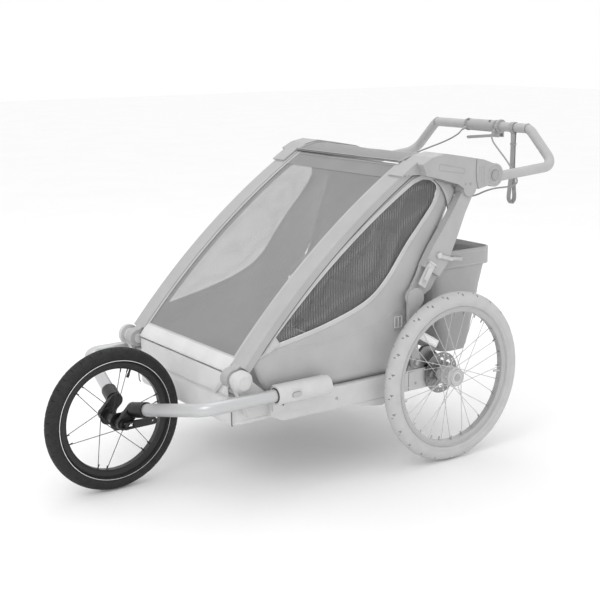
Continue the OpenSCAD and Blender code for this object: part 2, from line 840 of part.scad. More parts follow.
module tyre(at, y, r, w) {
    c = [r - w / 2, y];
    inner = w / 2 - tyre_wall;
    spin(at) polygon(concat(
        arc(c, w / 2, -180 + (90 - bead_angle), 180 - (90 - bead_angle), 28),
        [[bead_r(r, w) + 3.5, y + bead_half(w)]],
        arc(c, inner, 180 - (90 - bead_angle) - 2, -180 + (90 - bead_angle) + 2, 20),
        [[bead_r(r, w) + 3.5, y - bead_half(w)]]
    ));
}

module rim(at, y, r, w, rim_r) {
    h = bead_half(w);
    top = bead_r(r, w) + 3;
    wall = 1.6;
    bed = rim_r + wall + 1;
    spin(at) polygon([
        [rim_r, y - h + 4], [rim_r + 6, y - h], [top, y - h], [top, y - h + wall],
        [rim_r + 7, y - h + wall], [bed, y - h + 5], [bed, y + h - 5], [rim_r + 7, y + h - wall],
        [top, y + h - wall], [top, y + h], [rim_r + 6, y + h], [rim_r, y + h - 4]
    ]);
}

// One spoke from a flange at [radius, y, angle] to the rim at [radius, y, angle]
module spoke(at, from, to) {
    rod([at[0] + from[0] * cos(from[2]), -from[1], at[1] + from[0] * sin(from[2])],
        [at[0] + to[0] * cos(to[2]), -to[1], at[1] + to[0] * sin(to[2])], spoke_r);
}

module rear_tyre(s) { color("silver") on_side(s) tyre(axle, half_track, rear_wheel_r, rear_tyre_w); }

module rear_rim(s) {
    color("silver") on_side(s) rim(axle, half_track, rear_wheel_r, rear_tyre_w, rear_rim_r);
}

rear_flange_half = 17;

module rear_hub(s) {
    color("silver") on_side(s) difference() {
        union() {
            disc(axle, hub_core_r, hub_in, hub_out - 9);
            disc(axle, 21, hub_in, hub_in + 5);
            for (y = [half_track - rear_flange_half, half_track + rear_flange_half - 6])
                disc(axle, hub_flange_r, y - hub_flange_t / 2, y + hub_flange_t / 2);
            disc(axle, hub_cap_r, hub_out - 9, hub_out);
        }
        disc(axle, stub_r + run_gap, hub_in - 1, stub_end + 0.5);
        disc(axle, button_r + 0.3, hub_out - 8, hub_out + 1);
    }
}

// Spokes leave the flanges in turn and cross their neighbours
module rear_wheel_spokes(s) {
    color("gainsboro") on_side(s) for (i = [0:rear_spokes - 1]) {
        side = i % 2 == 0 ? 1 : -1;
        lean = floor(i / 2) % 2 == 0 ? 1 : -1;
        a = 360 * i / rear_spokes;
        y = half_track + (side > 0 ? rear_flange_half - 6 : -rear_flange_half) + lean * spoke_stagger;
        spoke(axle, [hub_flange_r + spoke_gap, y, a - lean * 52],
            [rear_rim_r - spoke_gap, half_track + side * 4 + lean * 1.2, a]);
    }
}

module brake_rotor(s) {
    color("grey") on_side(s) slab(rotor_in, rotor_in + rotor_t) difference() {
        translate(axle) circle(rotor_r, $fn = 72);
        translate(axle) circle(stub_r + 2);
        for (a = [0:45:315]) translate(axle + 36 * [cos(a), sin(a)]) circle(10);
        for (a = [0:20:340]) translate(axle + 54 * [cos(a), sin(a)]) circle(2.6, $fn = 16);
    }
}

module hub_button(s) {
    color("grey") on_side(s) disc(axle, button_r, hub_out - 8 + button_travel + 0.6, hub_out + 1);
}

front_hub_r = 13;

module front_tyre() { color("#303030") at_axle() tyre(front_axle_at, 0, front_wheel_r, front_tyre_w); }

module front_rim() {
    color("#202020") at_axle() rim(front_axle_at, 0, front_wheel_r, front_tyre_w, front_rim_r);
}

module front_hub() {
    color("#181818") at_axle() difference() {
        union() {
            bar(front_axle_at, front_hub_r, front_hub_half);
            for (y = [-front_flange_half, front_flange_half])
                disc(front_axle_at, front_flange_r, y - 2, y + 2);
        }
        bar(front_axle_at, front_axle_r + run_gap, front_hub_half + 1);
    }
}

module front_spokes() {
    color("#202020") at_axle() for (i = [0:front_spoke_pairs - 1]) for (side = [-1, 1]) {
        a = 360 * i / front_spoke_pairs + 14;
        spoke(front_axle_at, [front_flange_r + spoke_gap, side * front_flange_half, a + side * 58],
            [front_rim_r - spoke_gap, side * 3, a + side * 5]);
    }
}

// ---------- front wheel kit ----------

module fork_arm(s) {
    color("silver") on_side(s)
        bent_tube([fork_start_at, fork_bend_at, fork_end_at], fork_tube_r, tube_wall, fork_bend_r);
}

fork_dir = unit(fork_end_at - fork_bend_at);

module fork_end(s) {
    color("#202020") on_side(s) difference() {
        union() {
            slab(dropout_in, dropout_out) hull() {
                translate(front_axle_at) circle(dropout_r);
                translate([fork_end_at[0] - 3, fork_end_at[2] - 4]) circle(19);
            }
            rod(fork_end_at - fork_dir * 34, fork_end_at + fork_dir * 20, fork_tube_r + 4);
        }
        rod(fork_end_at - fork_dir * 35, fork_end_at + fork_dir * 0.2, fork_tube_r + fit_gap);
        disc(front_axle_at, front_axle_r + fit_gap, dropout_in - 1, dropout_out + 30);
        slab(dropout_out, dropout_out + 30) translate(front_axle_at) circle(15);
        slab(0, dropout_in) translate(front_axle_at) circle(120);
    }
}

// Skewer through the hub: a nut on the right, a clevis for the lever on the left
module front_axle() {
    color("#282828") at_axle() {
        bar(front_axle_at, front_axle_r, dropout_out + 2);
        disc(front_axle_at, 12, -dropout_out - 10, -dropout_out - seat_gap);
        disc(front_axle_at, 13, dropout_out + seat_gap, dropout_out + 8);
        slab(dropout_out + 8, skewer_y + 4) translate(front_axle_at) square([8, 9], center = true);
        translate([front_axle_at[0], -skewer_y, front_axle_at[1] - 10]) cylinder(h = 20, r = skewer_pin_r);
    }
}

module quick_release_lever() {
    color("#181818") at_axle() translate([front_axle_at[0], -skewer_y, front_axle_at[1]]) difference() {
        union() {
            for (z = [-10, 5]) translate([0, 0, z]) cylinder(h = 5, r = 7);
            for (z = [-10, 5]) translate([0, -4.5, z]) cube([26, 9, 5]);
            translate([22, -4.5, -10]) cube([lever_len - 32, 9, 20]);
            translate([lever_len - 10, 4.5, 0]) rotate([90, 0, 0]) cylinder(h = 9, r = 10);
        }
        translate([0, 0, -11]) cylinder(h = 22, r = skewer_pin_r + run_gap);
        translate([lever_len - 12, 6, 0]) rotate([90, 0, 0]) cylinder(h = 12, r = 4);
    }
}

// ---------- drawing ----------

side_beam(LEFT);  // side_beam_left
side_beam(RIGHT);  // side_beam_right
front_crossbar();
axle_tube();
front_pivot(LEFT);  // front_pivot_left
front_pivot(RIGHT);  // front_pivot_right
arm_receiver(LEFT);  // arm_receiver_left
arm_receiver(RIGHT);  // arm_receiver_right
footwell();
seat_cushion();
backrest();
axle_brackets();
brake_calipers();
fork_arm(LEFT);  // fork_arm_left
fork_arm(RIGHT);  // fork_arm_right
fork_end(LEFT);  // fork_end_left
fork_end(RIGHT);  // fork_end_right
front_axle();
receiver_button(LEFT);  // receiver_button_left
receiver_button(RIGHT);  // receiver_button_right
quick_release_lever();
front_tyre();
front_rim();
front_hub();
front_spokes();
rear_tyre(LEFT);  // rear_tyre_left
rear_tyre(RIGHT);  // rear_tyre_right
rear_rim(LEFT);  // rear_rim_left
rear_rim(RIGHT);  // rear_rim_right
rear_hub(LEFT);  // rear_hub_left
rear_hub(RIGHT);  // rear_hub_right
rear_wheel_spokes(LEFT);  // rear_spokes_left
rear_wheel_spokes(RIGHT);  // rear_spokes_right
brake_rotor(LEFT);  // brake_rotor_left
brake_rotor(RIGHT);  // brake_rotor_right
hub_button(LEFT);  // hub_button_left
hub_button(RIGHT);  // hub_button_right
side_arch(LEFT);  // side_arch_left
side_arch(RIGHT);  // side_arch_right
top_housing(LEFT);  // top_housing_left
top_housing(RIGHT);  // top_housing_right
roof_crossbar();
roof_cover();
front_cover();
side_panel(LEFT);  // side_panel_left
side_panel(RIGHT);  // side_panel_right
lower_struts();
rear_post(LEFT);  // rear_post_left
rear_post(RIGHT);  // rear_post_right
fold_latch(LEFT);  // fold_latch_left
fold_latch(RIGHT);  // fold_latch_right
handlebar();
handlebar_button(LEFT);  // handlebar_button_left
handlebar_button(RIGHT);  // handlebar_button_right
brake_lever_mount();
brake_lever();
brake_cable(cable_left);  // brake_cable_left
brake_cable(cable_right);  // brake_cable_right
wrist_strap();
cargo_bag();
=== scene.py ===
"""Child bicycle trailer with a clip-on front wheel: looks, soft goods and small details.

Outlines are in millimetres, measured along X from the rear axle (forward is -X), across from the
middle (the trailer's left is -Y) and up from the ground. row() turns them into the row frame.
"""
import math

import bmesh
import bpy
from mathutils import Matrix, Vector, geometry, noise


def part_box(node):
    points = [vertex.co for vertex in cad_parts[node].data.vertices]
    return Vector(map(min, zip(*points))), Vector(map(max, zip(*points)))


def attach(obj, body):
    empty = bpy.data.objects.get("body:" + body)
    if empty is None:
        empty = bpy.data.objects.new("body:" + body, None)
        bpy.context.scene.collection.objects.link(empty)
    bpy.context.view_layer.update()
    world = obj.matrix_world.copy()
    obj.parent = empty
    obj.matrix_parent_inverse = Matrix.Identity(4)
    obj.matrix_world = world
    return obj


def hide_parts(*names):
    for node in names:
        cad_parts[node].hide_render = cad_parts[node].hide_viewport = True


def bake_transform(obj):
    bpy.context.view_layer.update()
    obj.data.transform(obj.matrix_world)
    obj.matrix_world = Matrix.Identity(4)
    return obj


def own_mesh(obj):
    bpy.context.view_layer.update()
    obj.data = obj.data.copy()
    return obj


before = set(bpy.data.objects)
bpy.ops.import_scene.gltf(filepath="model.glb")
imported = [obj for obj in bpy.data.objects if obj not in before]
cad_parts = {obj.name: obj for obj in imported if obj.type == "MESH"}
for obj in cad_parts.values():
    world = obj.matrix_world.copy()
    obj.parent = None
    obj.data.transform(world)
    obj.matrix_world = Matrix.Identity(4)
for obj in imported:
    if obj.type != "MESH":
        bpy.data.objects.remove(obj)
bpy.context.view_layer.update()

# ---------- the frame, in millimetres from the rear axle ----------

MM = 0.001
LEFT, RIGHT = -1, 1
SIDES = {LEFT: "left", RIGHT: "right"}


def middle(node):
    low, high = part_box(node)
    return (low + high) / 2


AXLE_X = middle("axle_tube").x


def row(p):
    return Vector((AXLE_X + p[0] * MM, p[1] * MM, p[2] * MM))


def from_row(p):
    return Vector(((p[0] - AXLE_X) / MM, p[1] / MM, p[2] / MM))


def low(node):
    return from_row(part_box(node)[0])


def high(node):
    return from_row(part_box(node)[1])


def centre(node):
    return from_row(middle(node))


AXLE_Z = centre("axle_tube").z
JOINT = Vector((centre("front_pivot_left").x, centre("front_pivot_left").z))
CABIN_HALF = high("side_arch_right").y - 62
ARCH_R = 2300
ARCH_DEPTH = 22
ARCH_FOOT = JOINT + Vector((15, 31))
ARCH_HEAD = Vector((-98, 864))
FRONT_AXLE = Vector((centre("front_hub").x, 0, centre("front_hub").z))
FRONT_R = high("front_tyre").z / 2
REAR_R = high("rear_tyre_left").z / 2
HALF_TRACK = centre("rear_tyre_right").y
HANDLE_X = centre("brake_lever_mount").x
HANDLE_Z = high("handlebar").z - 15
HANDLE_PIVOT = Vector((centre("handlebar_button_left").x, 0, centre("handlebar_button_left").z))
BEAM_OUT = 318
BEAM_FOOT = 212
BEAM_TOP = 273

_chord = ARCH_HEAD - ARCH_FOOT
_dir = _chord.normalized()
ARCH_CENTRE = (ARCH_HEAD + ARCH_FOOT) / 2 + Vector((_dir.y, -_dir.x)) * math.sqrt(
    ARCH_R ** 2 - (_chord.length / 2) ** 2)


def arch_angle(p):
    return math.atan2(p[1] - ARCH_CENTRE.y, p[0] - ARCH_CENTRE.x)


def on_arch(angle, r):
    return Vector((ARCH_CENTRE.x + r * math.cos(angle), ARCH_CENTRE.y + r * math.sin(angle)))


ANGLE_HEAD = arch_angle(ARCH_HEAD)
ANGLE_FOOT = arch_angle(ARCH_FOOT)

# ---------- camera, light and floor ----------

YAW = math.radians(35.5)
PITCH = math.radians(12.7)
ROLL = -0.006


def photo_camera():
    ahead = Vector((math.sin(YAW) * math.cos(PITCH), math.cos(YAW) * math.cos(PITCH), -math.sin(PITCH)))
    level = Vector((math.cos(YAW), -math.sin(YAW), 0))
    up = level.cross(ahead)
    right = math.cos(ROLL) * level + math.sin(ROLL) * up
    up = -math.sin(ROLL) * level + math.cos(ROLL) * up
    data = bpy.data.cameras.new("camera")
    data.lens = 69.14
    data.sensor_width = 36
    data.shift_x = 0.006
    data.shift_y = -0.0024
    data.clip_end = 60
    camera = bpy.data.objects.new("camera", data)
    camera.matrix_world = Matrix((
        (right.x, up.x, -ahead.x, -1.9208),
        (right.y, up.y, -ahead.y, -2.7292),
        (right.z, up.z, -ahead.z, 1.2077),
        (0, 0, 0, 1)))
    bpy.context.scene.collection.objects.link(camera)
    bpy.context.scene.camera = camera


def softbox(name, at, aim, size, power):
    data = bpy.data.lights.new(name, "AREA")
    data.shape = "DISK"
    data.size = size
    data.energy = power
    light = bpy.data.objects.new(name, data)
    light.location = at
    light.rotation_euler = (Vector(aim) - Vector(at)).to_track_quat("-Z", "Y").to_euler()
    bpy.context.scene.collection.objects.link(light)


def studio():
    world = bpy.data.worlds.new("studio")
    world.use_nodes = True
    background = world.node_tree.nodes["Background"]
    background.inputs["Color"].default_value = (1, 1, 1, 1)
    background.inputs["Strength"].default_value = 1.0
    bpy.context.scene.world = world
    bpy.context.scene.view_settings.view_transform = "Standard"
    softbox("key", (-3.0, -1.4, 3.4), (0, 0, 0.4), 2.2, 26)
    softbox("top", (0.6, 0.6, 3.8), (0, 0, 0.4), 2.6, 14)
    softbox("rim", (2.8, 2.0, 2.2), (0, 0, 0.5), 2.0, 8)
    bpy.ops.mesh.primitive_plane_add(size=40, location=(0, 0, -0.0005))
    floor = bpy.context.object
    floor.name = "floor"
    floor.data.materials.append(floor_paper())


# ---------- materials ----------


def grey(value, tint=0.0):
    """A grey of 0 to 255 as the display shows it, a little cool where tint is above 0."""
    v = (value / 255) ** 2.2
    return (v * (1 - tint), v, v * (1 + tint), 1)


class Finish:
    """A material with one Principled shader, and the nodes that vary it."""

    def __init__(self, name, colour, roughness, metallic=0.0, sheen=0.0, coat=0.0):
        self.material = bpy.data.materials.new(name)
        self.material.use_nodes = True
        self.tree = self.material.node_tree
        self.shader = self.tree.nodes["Principled BSDF"]
        self.colour = colour
        self.shader.inputs["Base Color"].default_value = colour
        self.shader.inputs["Roughness"].default_value = roughness
        self.shader.inputs["Metallic"].default_value = metallic
        self.shader.inputs["Sheen Weight"].default_value = sheen
        self.shader.inputs["Sheen Roughness"].default_value = 0.5
        self.shader.inputs["Coat Weight"].default_value = coat
        self.shader.inputs["Coat Roughness"].default_value = 0.25
        self.place = self.tree.nodes.new("ShaderNodeTexCoord").outputs["Object"]
        self.height = None

    def node(self, kind, **inputs):
        n = self.tree.nodes.new(kind)
        for name, value in inputs.items():
            socket = n.inputs[name.replace("_", " ")]
            if isinstance(value, bpy.types.NodeSocket):
                self.tree.links.new(value, socket)
            else:
                socket.default_value = value
        return n

    def stretched(self, scale):
        n = self.node("ShaderNodeMapping", Vector=self.place)
        n.inputs["Scale"].default_value = scale
        return n.outputs["Vector"]

    def noise(self, scale, detail=3.0, stretch=None):
        place = self.stretched(stretch) if stretch else self.place
        return self.node("ShaderNodeTexNoise", Vector=place, Scale=scale, Detail=detail).outputs["Fac"]

    def wave(self, period, direction):
        """Bands of that period in metres across X, Y or Z."""
        n = self.node("ShaderNodeTexWave", Vector=self.place, Scale=2 * math.pi / 20 / period)
        n.bands_direction = direction
        return n.outputs["Fac"]

    def maths(self, operation, a, b):
        n = self.tree.nodes.new("ShaderNodeMath")
        n.operation = operation
        for socket, value in zip(n.inputs, (a, b)):
            if isinstance(value, bpy.types.NodeSocket):
                self.tree.links.new(value, socket)
            else:
                socket.default_value = value
        return n.outputs[0]

    def span(self, fac, low, high):
        n = self.node("ShaderNodeMapRange", Value=fac)
        n.inputs["From Min"].default_value = 0.3
        n.inputs["From Max"].default_value = 0.7
        n.inputs["To Min"].default_value = low
        n.inputs["To Max"].default_value = high
        return n.outputs["Result"]

    def mottle(self, fac, amount):
        """Colour that runs a share darker and lighter with fac."""
        n = self.tree.nodes.new("ShaderNodeMix")
        n.data_type = "RGBA"
        dark = [c * (1 - amount) for c in self.colour[:3]] + [1]
        light = [min(1.0, c * (1 + amount)) for c in self.colour[:3]] + [1]
        self.tree.links.new(self.span(fac, 0, 1), n.inputs[0])
        n.inputs[6].default_value = dark
        n.inputs[7].default_value = light
        self.tree.links.new(n.outputs[2], self.shader.inputs["Base Color"])
        return self

    def gloss(self, fac, low, high):
        self.tree.links.new(self.span(fac, low, high), self.shader.inputs["Roughness"])
        return self

    def bump(self, height, strength, distance):
        n = self.node("ShaderNodeBump", Height=height)
        n.inputs["Strength"].default_value = strength
        n.inputs["Distance"].default_value = distance
        if self.height:
            self.tree.links.new(self.height, n.inputs["Normal"])
        self.height = n.outputs["Normal"]
        self.tree.links.new(self.height, self.shader.inputs["Normal"])
        return self

    def cover(self, fac, low, high):
        """How much of the surface is thread rather than hole."""
        self.tree.links.new(self.span(fac, low, high), self.shader.inputs["Alpha"])
        return self

    def woven(self, thread, strength):
        """A plain weave: threads over and under each other on every face."""
        across = self.maths("MULTIPLY", self.wave(thread, "X"), self.wave(thread, "Z"))
        over = self.maths("MAXIMUM", across, self.wave(thread, "Y"))
        return self.bump(over, strength, thread / 3)


def woven_cloth(name, colour, thread=0.0022, strength=0.35, sheen=0.25, folds=0.35):
    f = Finish(name, colour, 0.85, sheen=sheen)
    f.mottle(f.noise(14), 0.05)
    f.bump(f.noise(9, 4), folds, 0.006)
    f.woven(thread, strength)
    return f.material


def open_mesh(name, colour, thread, low, high, stripe=0.0):
    """Net that shows what is behind it, with a rib every stripe metres along X."""
    f = Finish(name, colour, 0.8, sheen=0.15)
    f.mottle(f.noise(6), 0.06)
    net = f.maths("MAXIMUM", f.maths("MAXIMUM", f.wave(thread, "Z"), f.wave(thread, "Y")), 0.25)
    if stripe:
        net = f.maths("MULTIPLY", net, f.wave(stripe, "X"))
    f.cover(net, low, high)
    f.bump(net, 0.2, thread / 3)
    return f.material


def moulded(name, colour, roughness=0.5, grain=0.12, coat=0.0, wear=0.04):
    f = Finish(name, colour, roughness, coat=coat)
    f.mottle(f.noise(22, 5), wear)
    f.gloss(f.noise(60, 4), roughness - 0.06, roughness + 0.08)
    f.bump(f.noise(1400, 2), grain, 0.0003)
    return f.material


def painted(name, colour, roughness=0.42):
    f = Finish(name, colour, roughness, coat=0.15)
    f.mottle(f.noise(18, 5), 0.035)
    f.gloss(f.noise(45, 4), roughness - 0.05, roughness + 0.1)
    f.bump(f.noise(900, 2), 0.06, 0.0002)
    return f.material


def brushed(name, colour, roughness, along):
    """Metal with fine lines along the axis whose scale is small."""
    f = Finish(name, colour, roughness, metallic=1.0)
    lines = f.noise(350, 3, along)
    f.mottle(lines, 0.05)
    f.gloss(lines, roughness - 0.07, roughness + 0.09)
    f.bump(lines, 0.08, 0.0002)
    return f.material


def satin(name, colour, roughness):
    """Clear-coated aluminium: half metal, with a fine even grain."""
    f = Finish(name, colour, roughness, metallic=0.55, coat=0.25)
    f.mottle(f.noise(7, 2), 0.03)
    f.gloss(f.noise(260, 2, (0.05, 1, 1)), roughness - 0.05, roughness + 0.06)
    return f.material


def rubber(name, colour, roughness=0.75, dust=0.08):
    f = Finish(name, colour, roughness)
    f.mottle(f.noise(30, 5), dust)
    f.gloss(f.noise(80, 3), roughness - 0.1, roughness + 0.1)
    f.bump(f.noise(700, 3), 0.25, 0.0004)
    return f.material


def ribbed_webbing(name, colour):
    f = Finish(name, colour, 0.8, sheen=0.2)
    f.mottle(f.noise(40), 0.06)
    ribs = f.maths("MAXIMUM", f.wave(0.0016, "Z"), f.wave(0.0016, "X"))
    f.bump(ribs, 0.45, 0.0005)
    return f.material


def prism_lens(name, colour):
    """Reflector plastic with small raised cells under a glossy skin."""
    f = Finish(name, colour, 0.15, coat=0.8)
    cells = f.node("ShaderNodeTexVoronoi", Vector=f.place, Scale=420).outputs["Distance"]
    f.mottle(cells, 0.12)
    f.bump(cells, 0.5, 0.0006)
    return f.material


def floor_paper():
    f = Finish("floor_paper", grey(251), 0.95)
    f.mottle(f.noise(2), 0.01)
    return f.material


MATERIALS = {
    "frame_metal": painted("frame_metal", grey(178)),
    "arch_metal": painted("arch_metal", grey(172), 0.5),
    "fork_metal": satin("fork_metal", grey(196, 0.01), 0.34),
    "bare_metal": brushed("bare_metal", grey(185, 0.01), 0.34, (1, 0.05, 1)),
    "spoke_metal": brushed("spoke_metal", grey(205), 0.35, (1, 1, 1)),
    "rotor_metal": brushed("rotor_metal", grey(148), 0.38, (1, 1, 1)),
    "pale_plastic": moulded("pale_plastic", grey(203)),
    "beam_plastic": moulded("beam_plastic", grey(202), 0.55),
    "housing_plastic": moulded("housing_plastic", grey(172), 0.5),
    "post_plastic": moulded("post_plastic", grey(176), 0.5),
    "button_plastic": moulded("button_plastic", grey(165), 0.4),
    "dark_line": moulded("dark_line", grey(112), 0.6),
    "bar_grip": rubber("bar_grip", grey(182), 0.62, 0.04),
    "black_plastic": moulded("black_plastic", grey(22), 0.42, coat=0.1),
    "black_metal": painted("black_metal", grey(24), 0.4),
    "body_fabric": woven_cloth("body_fabric", grey(180)),
    "lower_fabric": woven_cloth("lower_fabric", grey(217), 0.0026),
    "hem_fabric": woven_cloth("hem_fabric", grey(196), 0.0016, folds=0.1),
    "mesh_fabric": open_mesh("mesh_fabric", grey(160), 0.0024, 0.46, 0.68),
    "window_fabric": open_mesh("window_fabric", grey(146), 0.0024, 0.3, 0.62, 0.0085),
    "roof_fabric": woven_cloth("roof_fabric", grey(134)),
    "roof_trim": woven_cloth("roof_trim", grey(150), 0.0016, folds=0.1),
    "seat_fabric": woven_cloth("seat_fabric", grey(112), 0.003, 0.5),
    "seat_trim": woven_cloth("seat_trim", grey(132), 0.002, 0.3),
    "bag_fabric": woven_cloth("bag_fabric", grey(172), 0.002),
    "webbing": ribbed_webbing("webbing", grey(168)),
    "dark_webbing": ribbed_webbing("dark_webbing", grey(112)),
    "thread": woven_cloth("thread", grey(214), 0.0008, 0.4, folds=0.0),
    "front_tyre_rubber": rubber("front_tyre_rubber", grey(32), 0.68, 0.12),
    "rear_tyre_rubber": rubber("rear_tyre_rubber", grey(190), 0.7, 0.04),
    # The next two greys are the tyres' own rubbers made darker for the tread grooves: painted shade in the
    # grooves.
    "groove_rubber": rubber("groove_rubber", grey(118), 0.8, 0.04),
    "black_groove": rubber("black_groove", grey(14), 0.8, 0.04),
    "tyre_stripe": prism_lens("tyre_stripe", grey(226)),
    "cable_skin": rubber("cable_skin", grey(150), 0.5, 0.05),
    "reflector": prism_lens("reflector", grey(208)),
}

# ---------- meshes: each maker gives (points, faces), and build() joins them ----------


def build(name, parts, material, body=None, sharp=35):
    points, faces = [], []
    for p, f in parts:
        start = len(points)
        points += [row(q) for q in p]
        faces += [[start + i for i in g] for g in f]
    mesh = bpy.data.meshes.new(name)
    mesh.from_pydata(points, [], faces)
    mesh.materials.append(MATERIALS[material])
    tidy_normals(mesh)
    mesh.polygons.foreach_set("use_smooth", [True] * len(mesh.polygons))
    mesh.set_sharp_from_angle(angle=math.radians(sharp))
    obj = bpy.data.objects.new(name, mesh)
    bpy.context.scene.collection.objects.link(obj)
    if body:
        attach(obj, body)
    return obj


def tidy_normals(mesh):
    bm = bmesh.new()
    bm.from_mesh(mesh)
    bmesh.ops.recalc_face_normals(bm, faces=bm.faces)
    bm.to_mesh(mesh)
    bm.free()


def applied(obj):
    """The object with its modifiers made part of its mesh."""
    graph = bpy.context.evaluated_depsgraph_get()
    mesh = bpy.data.meshes.new_from_object(obj.evaluated_get(graph))
    obj.modifiers.clear()
    obj.data = mesh
    return obj


def thicken(obj, thickness, offset=0.0):
    m = obj.modifiers.new("thickness", "SOLIDIFY")
    m.thickness = thickness * MM
    m.offset = offset
    return applied(obj)


def smooth_path(points, steps, closed=False):
    """A smooth line through points, with steps pieces between each two."""
    pts = [Vector(p) for p in points]
    n = len(pts)
    out = []
    for i in range(n if closed else n - 1):
        a, b, c, d = (pts[(i + k) % n] if closed else pts[min(max(i + k, 0), n - 1)] for k in (-1, 0, 1, 2))
        for k in range(steps):
            t = k / steps
            out.append(0.5 * (2 * b + (c - a) * t + (2 * a - 5 * b + 4 * c - d) * t * t
                              + (3 * b - a - 3 * c + d) * t ** 3))
    if not closed:
        out.append(pts[-1])
    return out


def spaced(points, step, closed=False):
    """The same line with points every step millimetres."""
    pts = [Vector(p) for p in points]
    if closed:
        pts.append(pts[0])
    lengths = [(b - a).length for a, b in zip(pts, pts[1:])]
    total = sum(lengths)
    count = max(2, round(total / step))
    out, i, run = [], 0, 0.0
    for k in range(count + (0 if closed else 1)):
        goal = total * k / count
        while i < len(lengths) - 1 and run + lengths[i] < goal:
            run += lengths[i]
            i += 1
        out.append(pts[i].lerp(pts[i + 1], (goal - run) / max(lengths[i], 1e-9)))
    return out


def tube(points, r, sides=8, closed=False):
    pts = [Vector(p) for p in points]
    n = len(pts)
    normal = None
    rings = []
    for i in range(n):
        ahead = pts[(i + 1) % n] if closed else pts[min(i + 1, n - 1)]
        behind = pts[i - 1] if closed else pts[max(i - 1, 0)]
        d = (ahead - behind).normalized()
        if normal is None:
            normal = d.orthogonal().normalized()
        normal = (normal - d * normal.dot(d)).normalized()
        other = d.cross(normal)
        rings.append([pts[i] + r * (math.cos(a) * normal + math.sin(a) * other)
                      for a in (2 * math.pi * k / sides for k in range(sides))])
    faces = []
    for i in range(n if closed else n - 1):
        a, b = i * sides, (i + 1) % n * sides
        faces += [[a + k, a + (k + 1) % sides, b + (k + 1) % sides, b + k] for k in range(sides)]
    if not closed:
        faces += [list(reversed(range(sides))), list(range((n - 1) * sides, n * sides))]
    return [p for ring in rings for p in ring], faces


def ribbon(points, across, width, thick, closed=False):
    """A flat strap along points. across is its width's direction, one for all or one for each point."""
    pts = [Vector(p) for p in points]
    n = len(pts)
    out, faces = [], []
    edge = min(thick / 2, width / 4)
    outline = [(-width / 2, 0), (-width / 2 + edge, -thick / 2), (width / 2 - edge, -thick / 2),
               (width / 2, 0), (width / 2 - edge, thick / 2), (-width / 2 + edge, thick / 2)]
    for i in range(n):
        ahead = pts[(i + 1) % n] if closed else pts[min(i + 1, n - 1)]
        behind = pts[i - 1] if closed else pts[max(i - 1, 0)]
        d = (ahead - behind).normalized()
        w = Vector(across[i] if isinstance(across[0], (list, tuple, Vector)) else across)
        w = (w - d * w.dot(d)).normalized()
        out += [pts[i] + w * u + d.cross(w) * v for u, v in outline]
    for i in range(n if closed else n - 1):
        a, b = i * 6, (i + 1) % n * 6
        faces += [[a + k, a + (k + 1) % 6, b + (k + 1) % 6, b + k] for k in range(6)]
    if not closed:
        faces += [list(reversed(range(6))), list(range((n - 1) * 6, n * 6))]
    return out, faces


def turned(origin, axis, profile, sides=32):
    """A profile of (radius, height) turned about an axis from origin."""
    d = Vector(axis).normalized()
    u = d.orthogonal().normalized()
    v = d.cross(u)
    points, faces = [], []
    for r, h in profile:
        points += [Vector(origin) + d * h + r * (math.cos(a) * u + math.sin(a) * v)
                   for a in (2 * math.pi * k / sides for k in range(sides))]
    for i in range(len(profile) - 1):
        a, b = i * sides, (i + 1) * sides
        faces += [[a + k, a + (k + 1) % sides, b + (k + 1) % sides, b + k] for k in range(sides)]
    for i, turn in ((0, -1), (len(profile) - 1, 1)):
        faces.append([i * sides + k for k in range(sides)][::turn])
    return points, faces


def ring(origin, axis, r, tube_r, sides=48):
    d = Vector(axis).normalized()
    u = d.orthogonal().normalized()
    v = d.cross(u)
    line = [Vector(origin) + r * (math.cos(a) * u + math.sin(a) * v)
            for a in (2 * math.pi * k / sides for k in range(sides))]
    return tube(line, tube_r, 8, True)


def block(at, size, bevel=2.0, turn=(0, 0, 0)):
    """A box with rounded edges, turned by Euler angles in degrees."""
    bm = bmesh.new()
    bmesh.ops.create_cube(bm, size=1)
    bmesh.ops.scale(bm, vec=size, verts=bm.verts)
    bmesh.ops.bevel(bm, geom=list(bm.edges), offset=bevel, segments=3, affect="EDGES", profile=0.5)
    spin = Matrix.Rotation(math.radians(turn[2]), 3, "Z") @ Matrix.Rotation(
        math.radians(turn[1]), 3, "Y") @ Matrix.Rotation(math.radians(turn[0]), 3, "X")
    bm.verts.index_update()
    points = [Vector(at) + spin @ v.co for v in bm.verts]
    faces = [[v.index for v in f.verts] for f in bm.faces]
    bm.free()
    return points, faces


def screw(at, axis, r=4.0):
    """A round head with a recess."""
    head = [(r, 0), (r, 1.0), (r - 0.8, 1.7), (r * 0.5, 2.0), (r * 0.42, 0.9), (0.01, 0.8)]
    return turned(at, axis, head, 16)


def stitches(points, across, length=4.0, gap=2.6, closed=False):
    """Short raised threads along a line."""
    line = spaced(points, (length + gap) / 2, closed)
    return [ribbon([line[i], line[i + 1]], across, 1.1, 0.9) for i in range(0, len(line) - 1, 2)]


def outline_normals(loop):
    """For a closed [x, z] loop, the outward normal at each point."""
    n = len(loop)
    area = sum(loop[i][0] * loop[(i + 1) % n][1] - loop[(i + 1) % n][0] * loop[i][1] for i in range(n))
    turn = 1 if area > 0 else -1
    out = []
    for i in range(n):
        d = Vector(loop[(i + 1) % n]) - Vector(loop[i - 1])
        out.append(Vector((d.y, -d.x)).normalized() * turn)
    return out


def inside(p, loop):
    hit = False
    for (x1, z1), (x2, z2) in zip(loop, loop[1:] + loop[:1]):
        if (z1 > p[1]) != (z2 > p[1]) and p[0] < (x2 - x1) * (p[1] - z1) / (z2 - z1) + x1:
            hit = not hit
    return hit


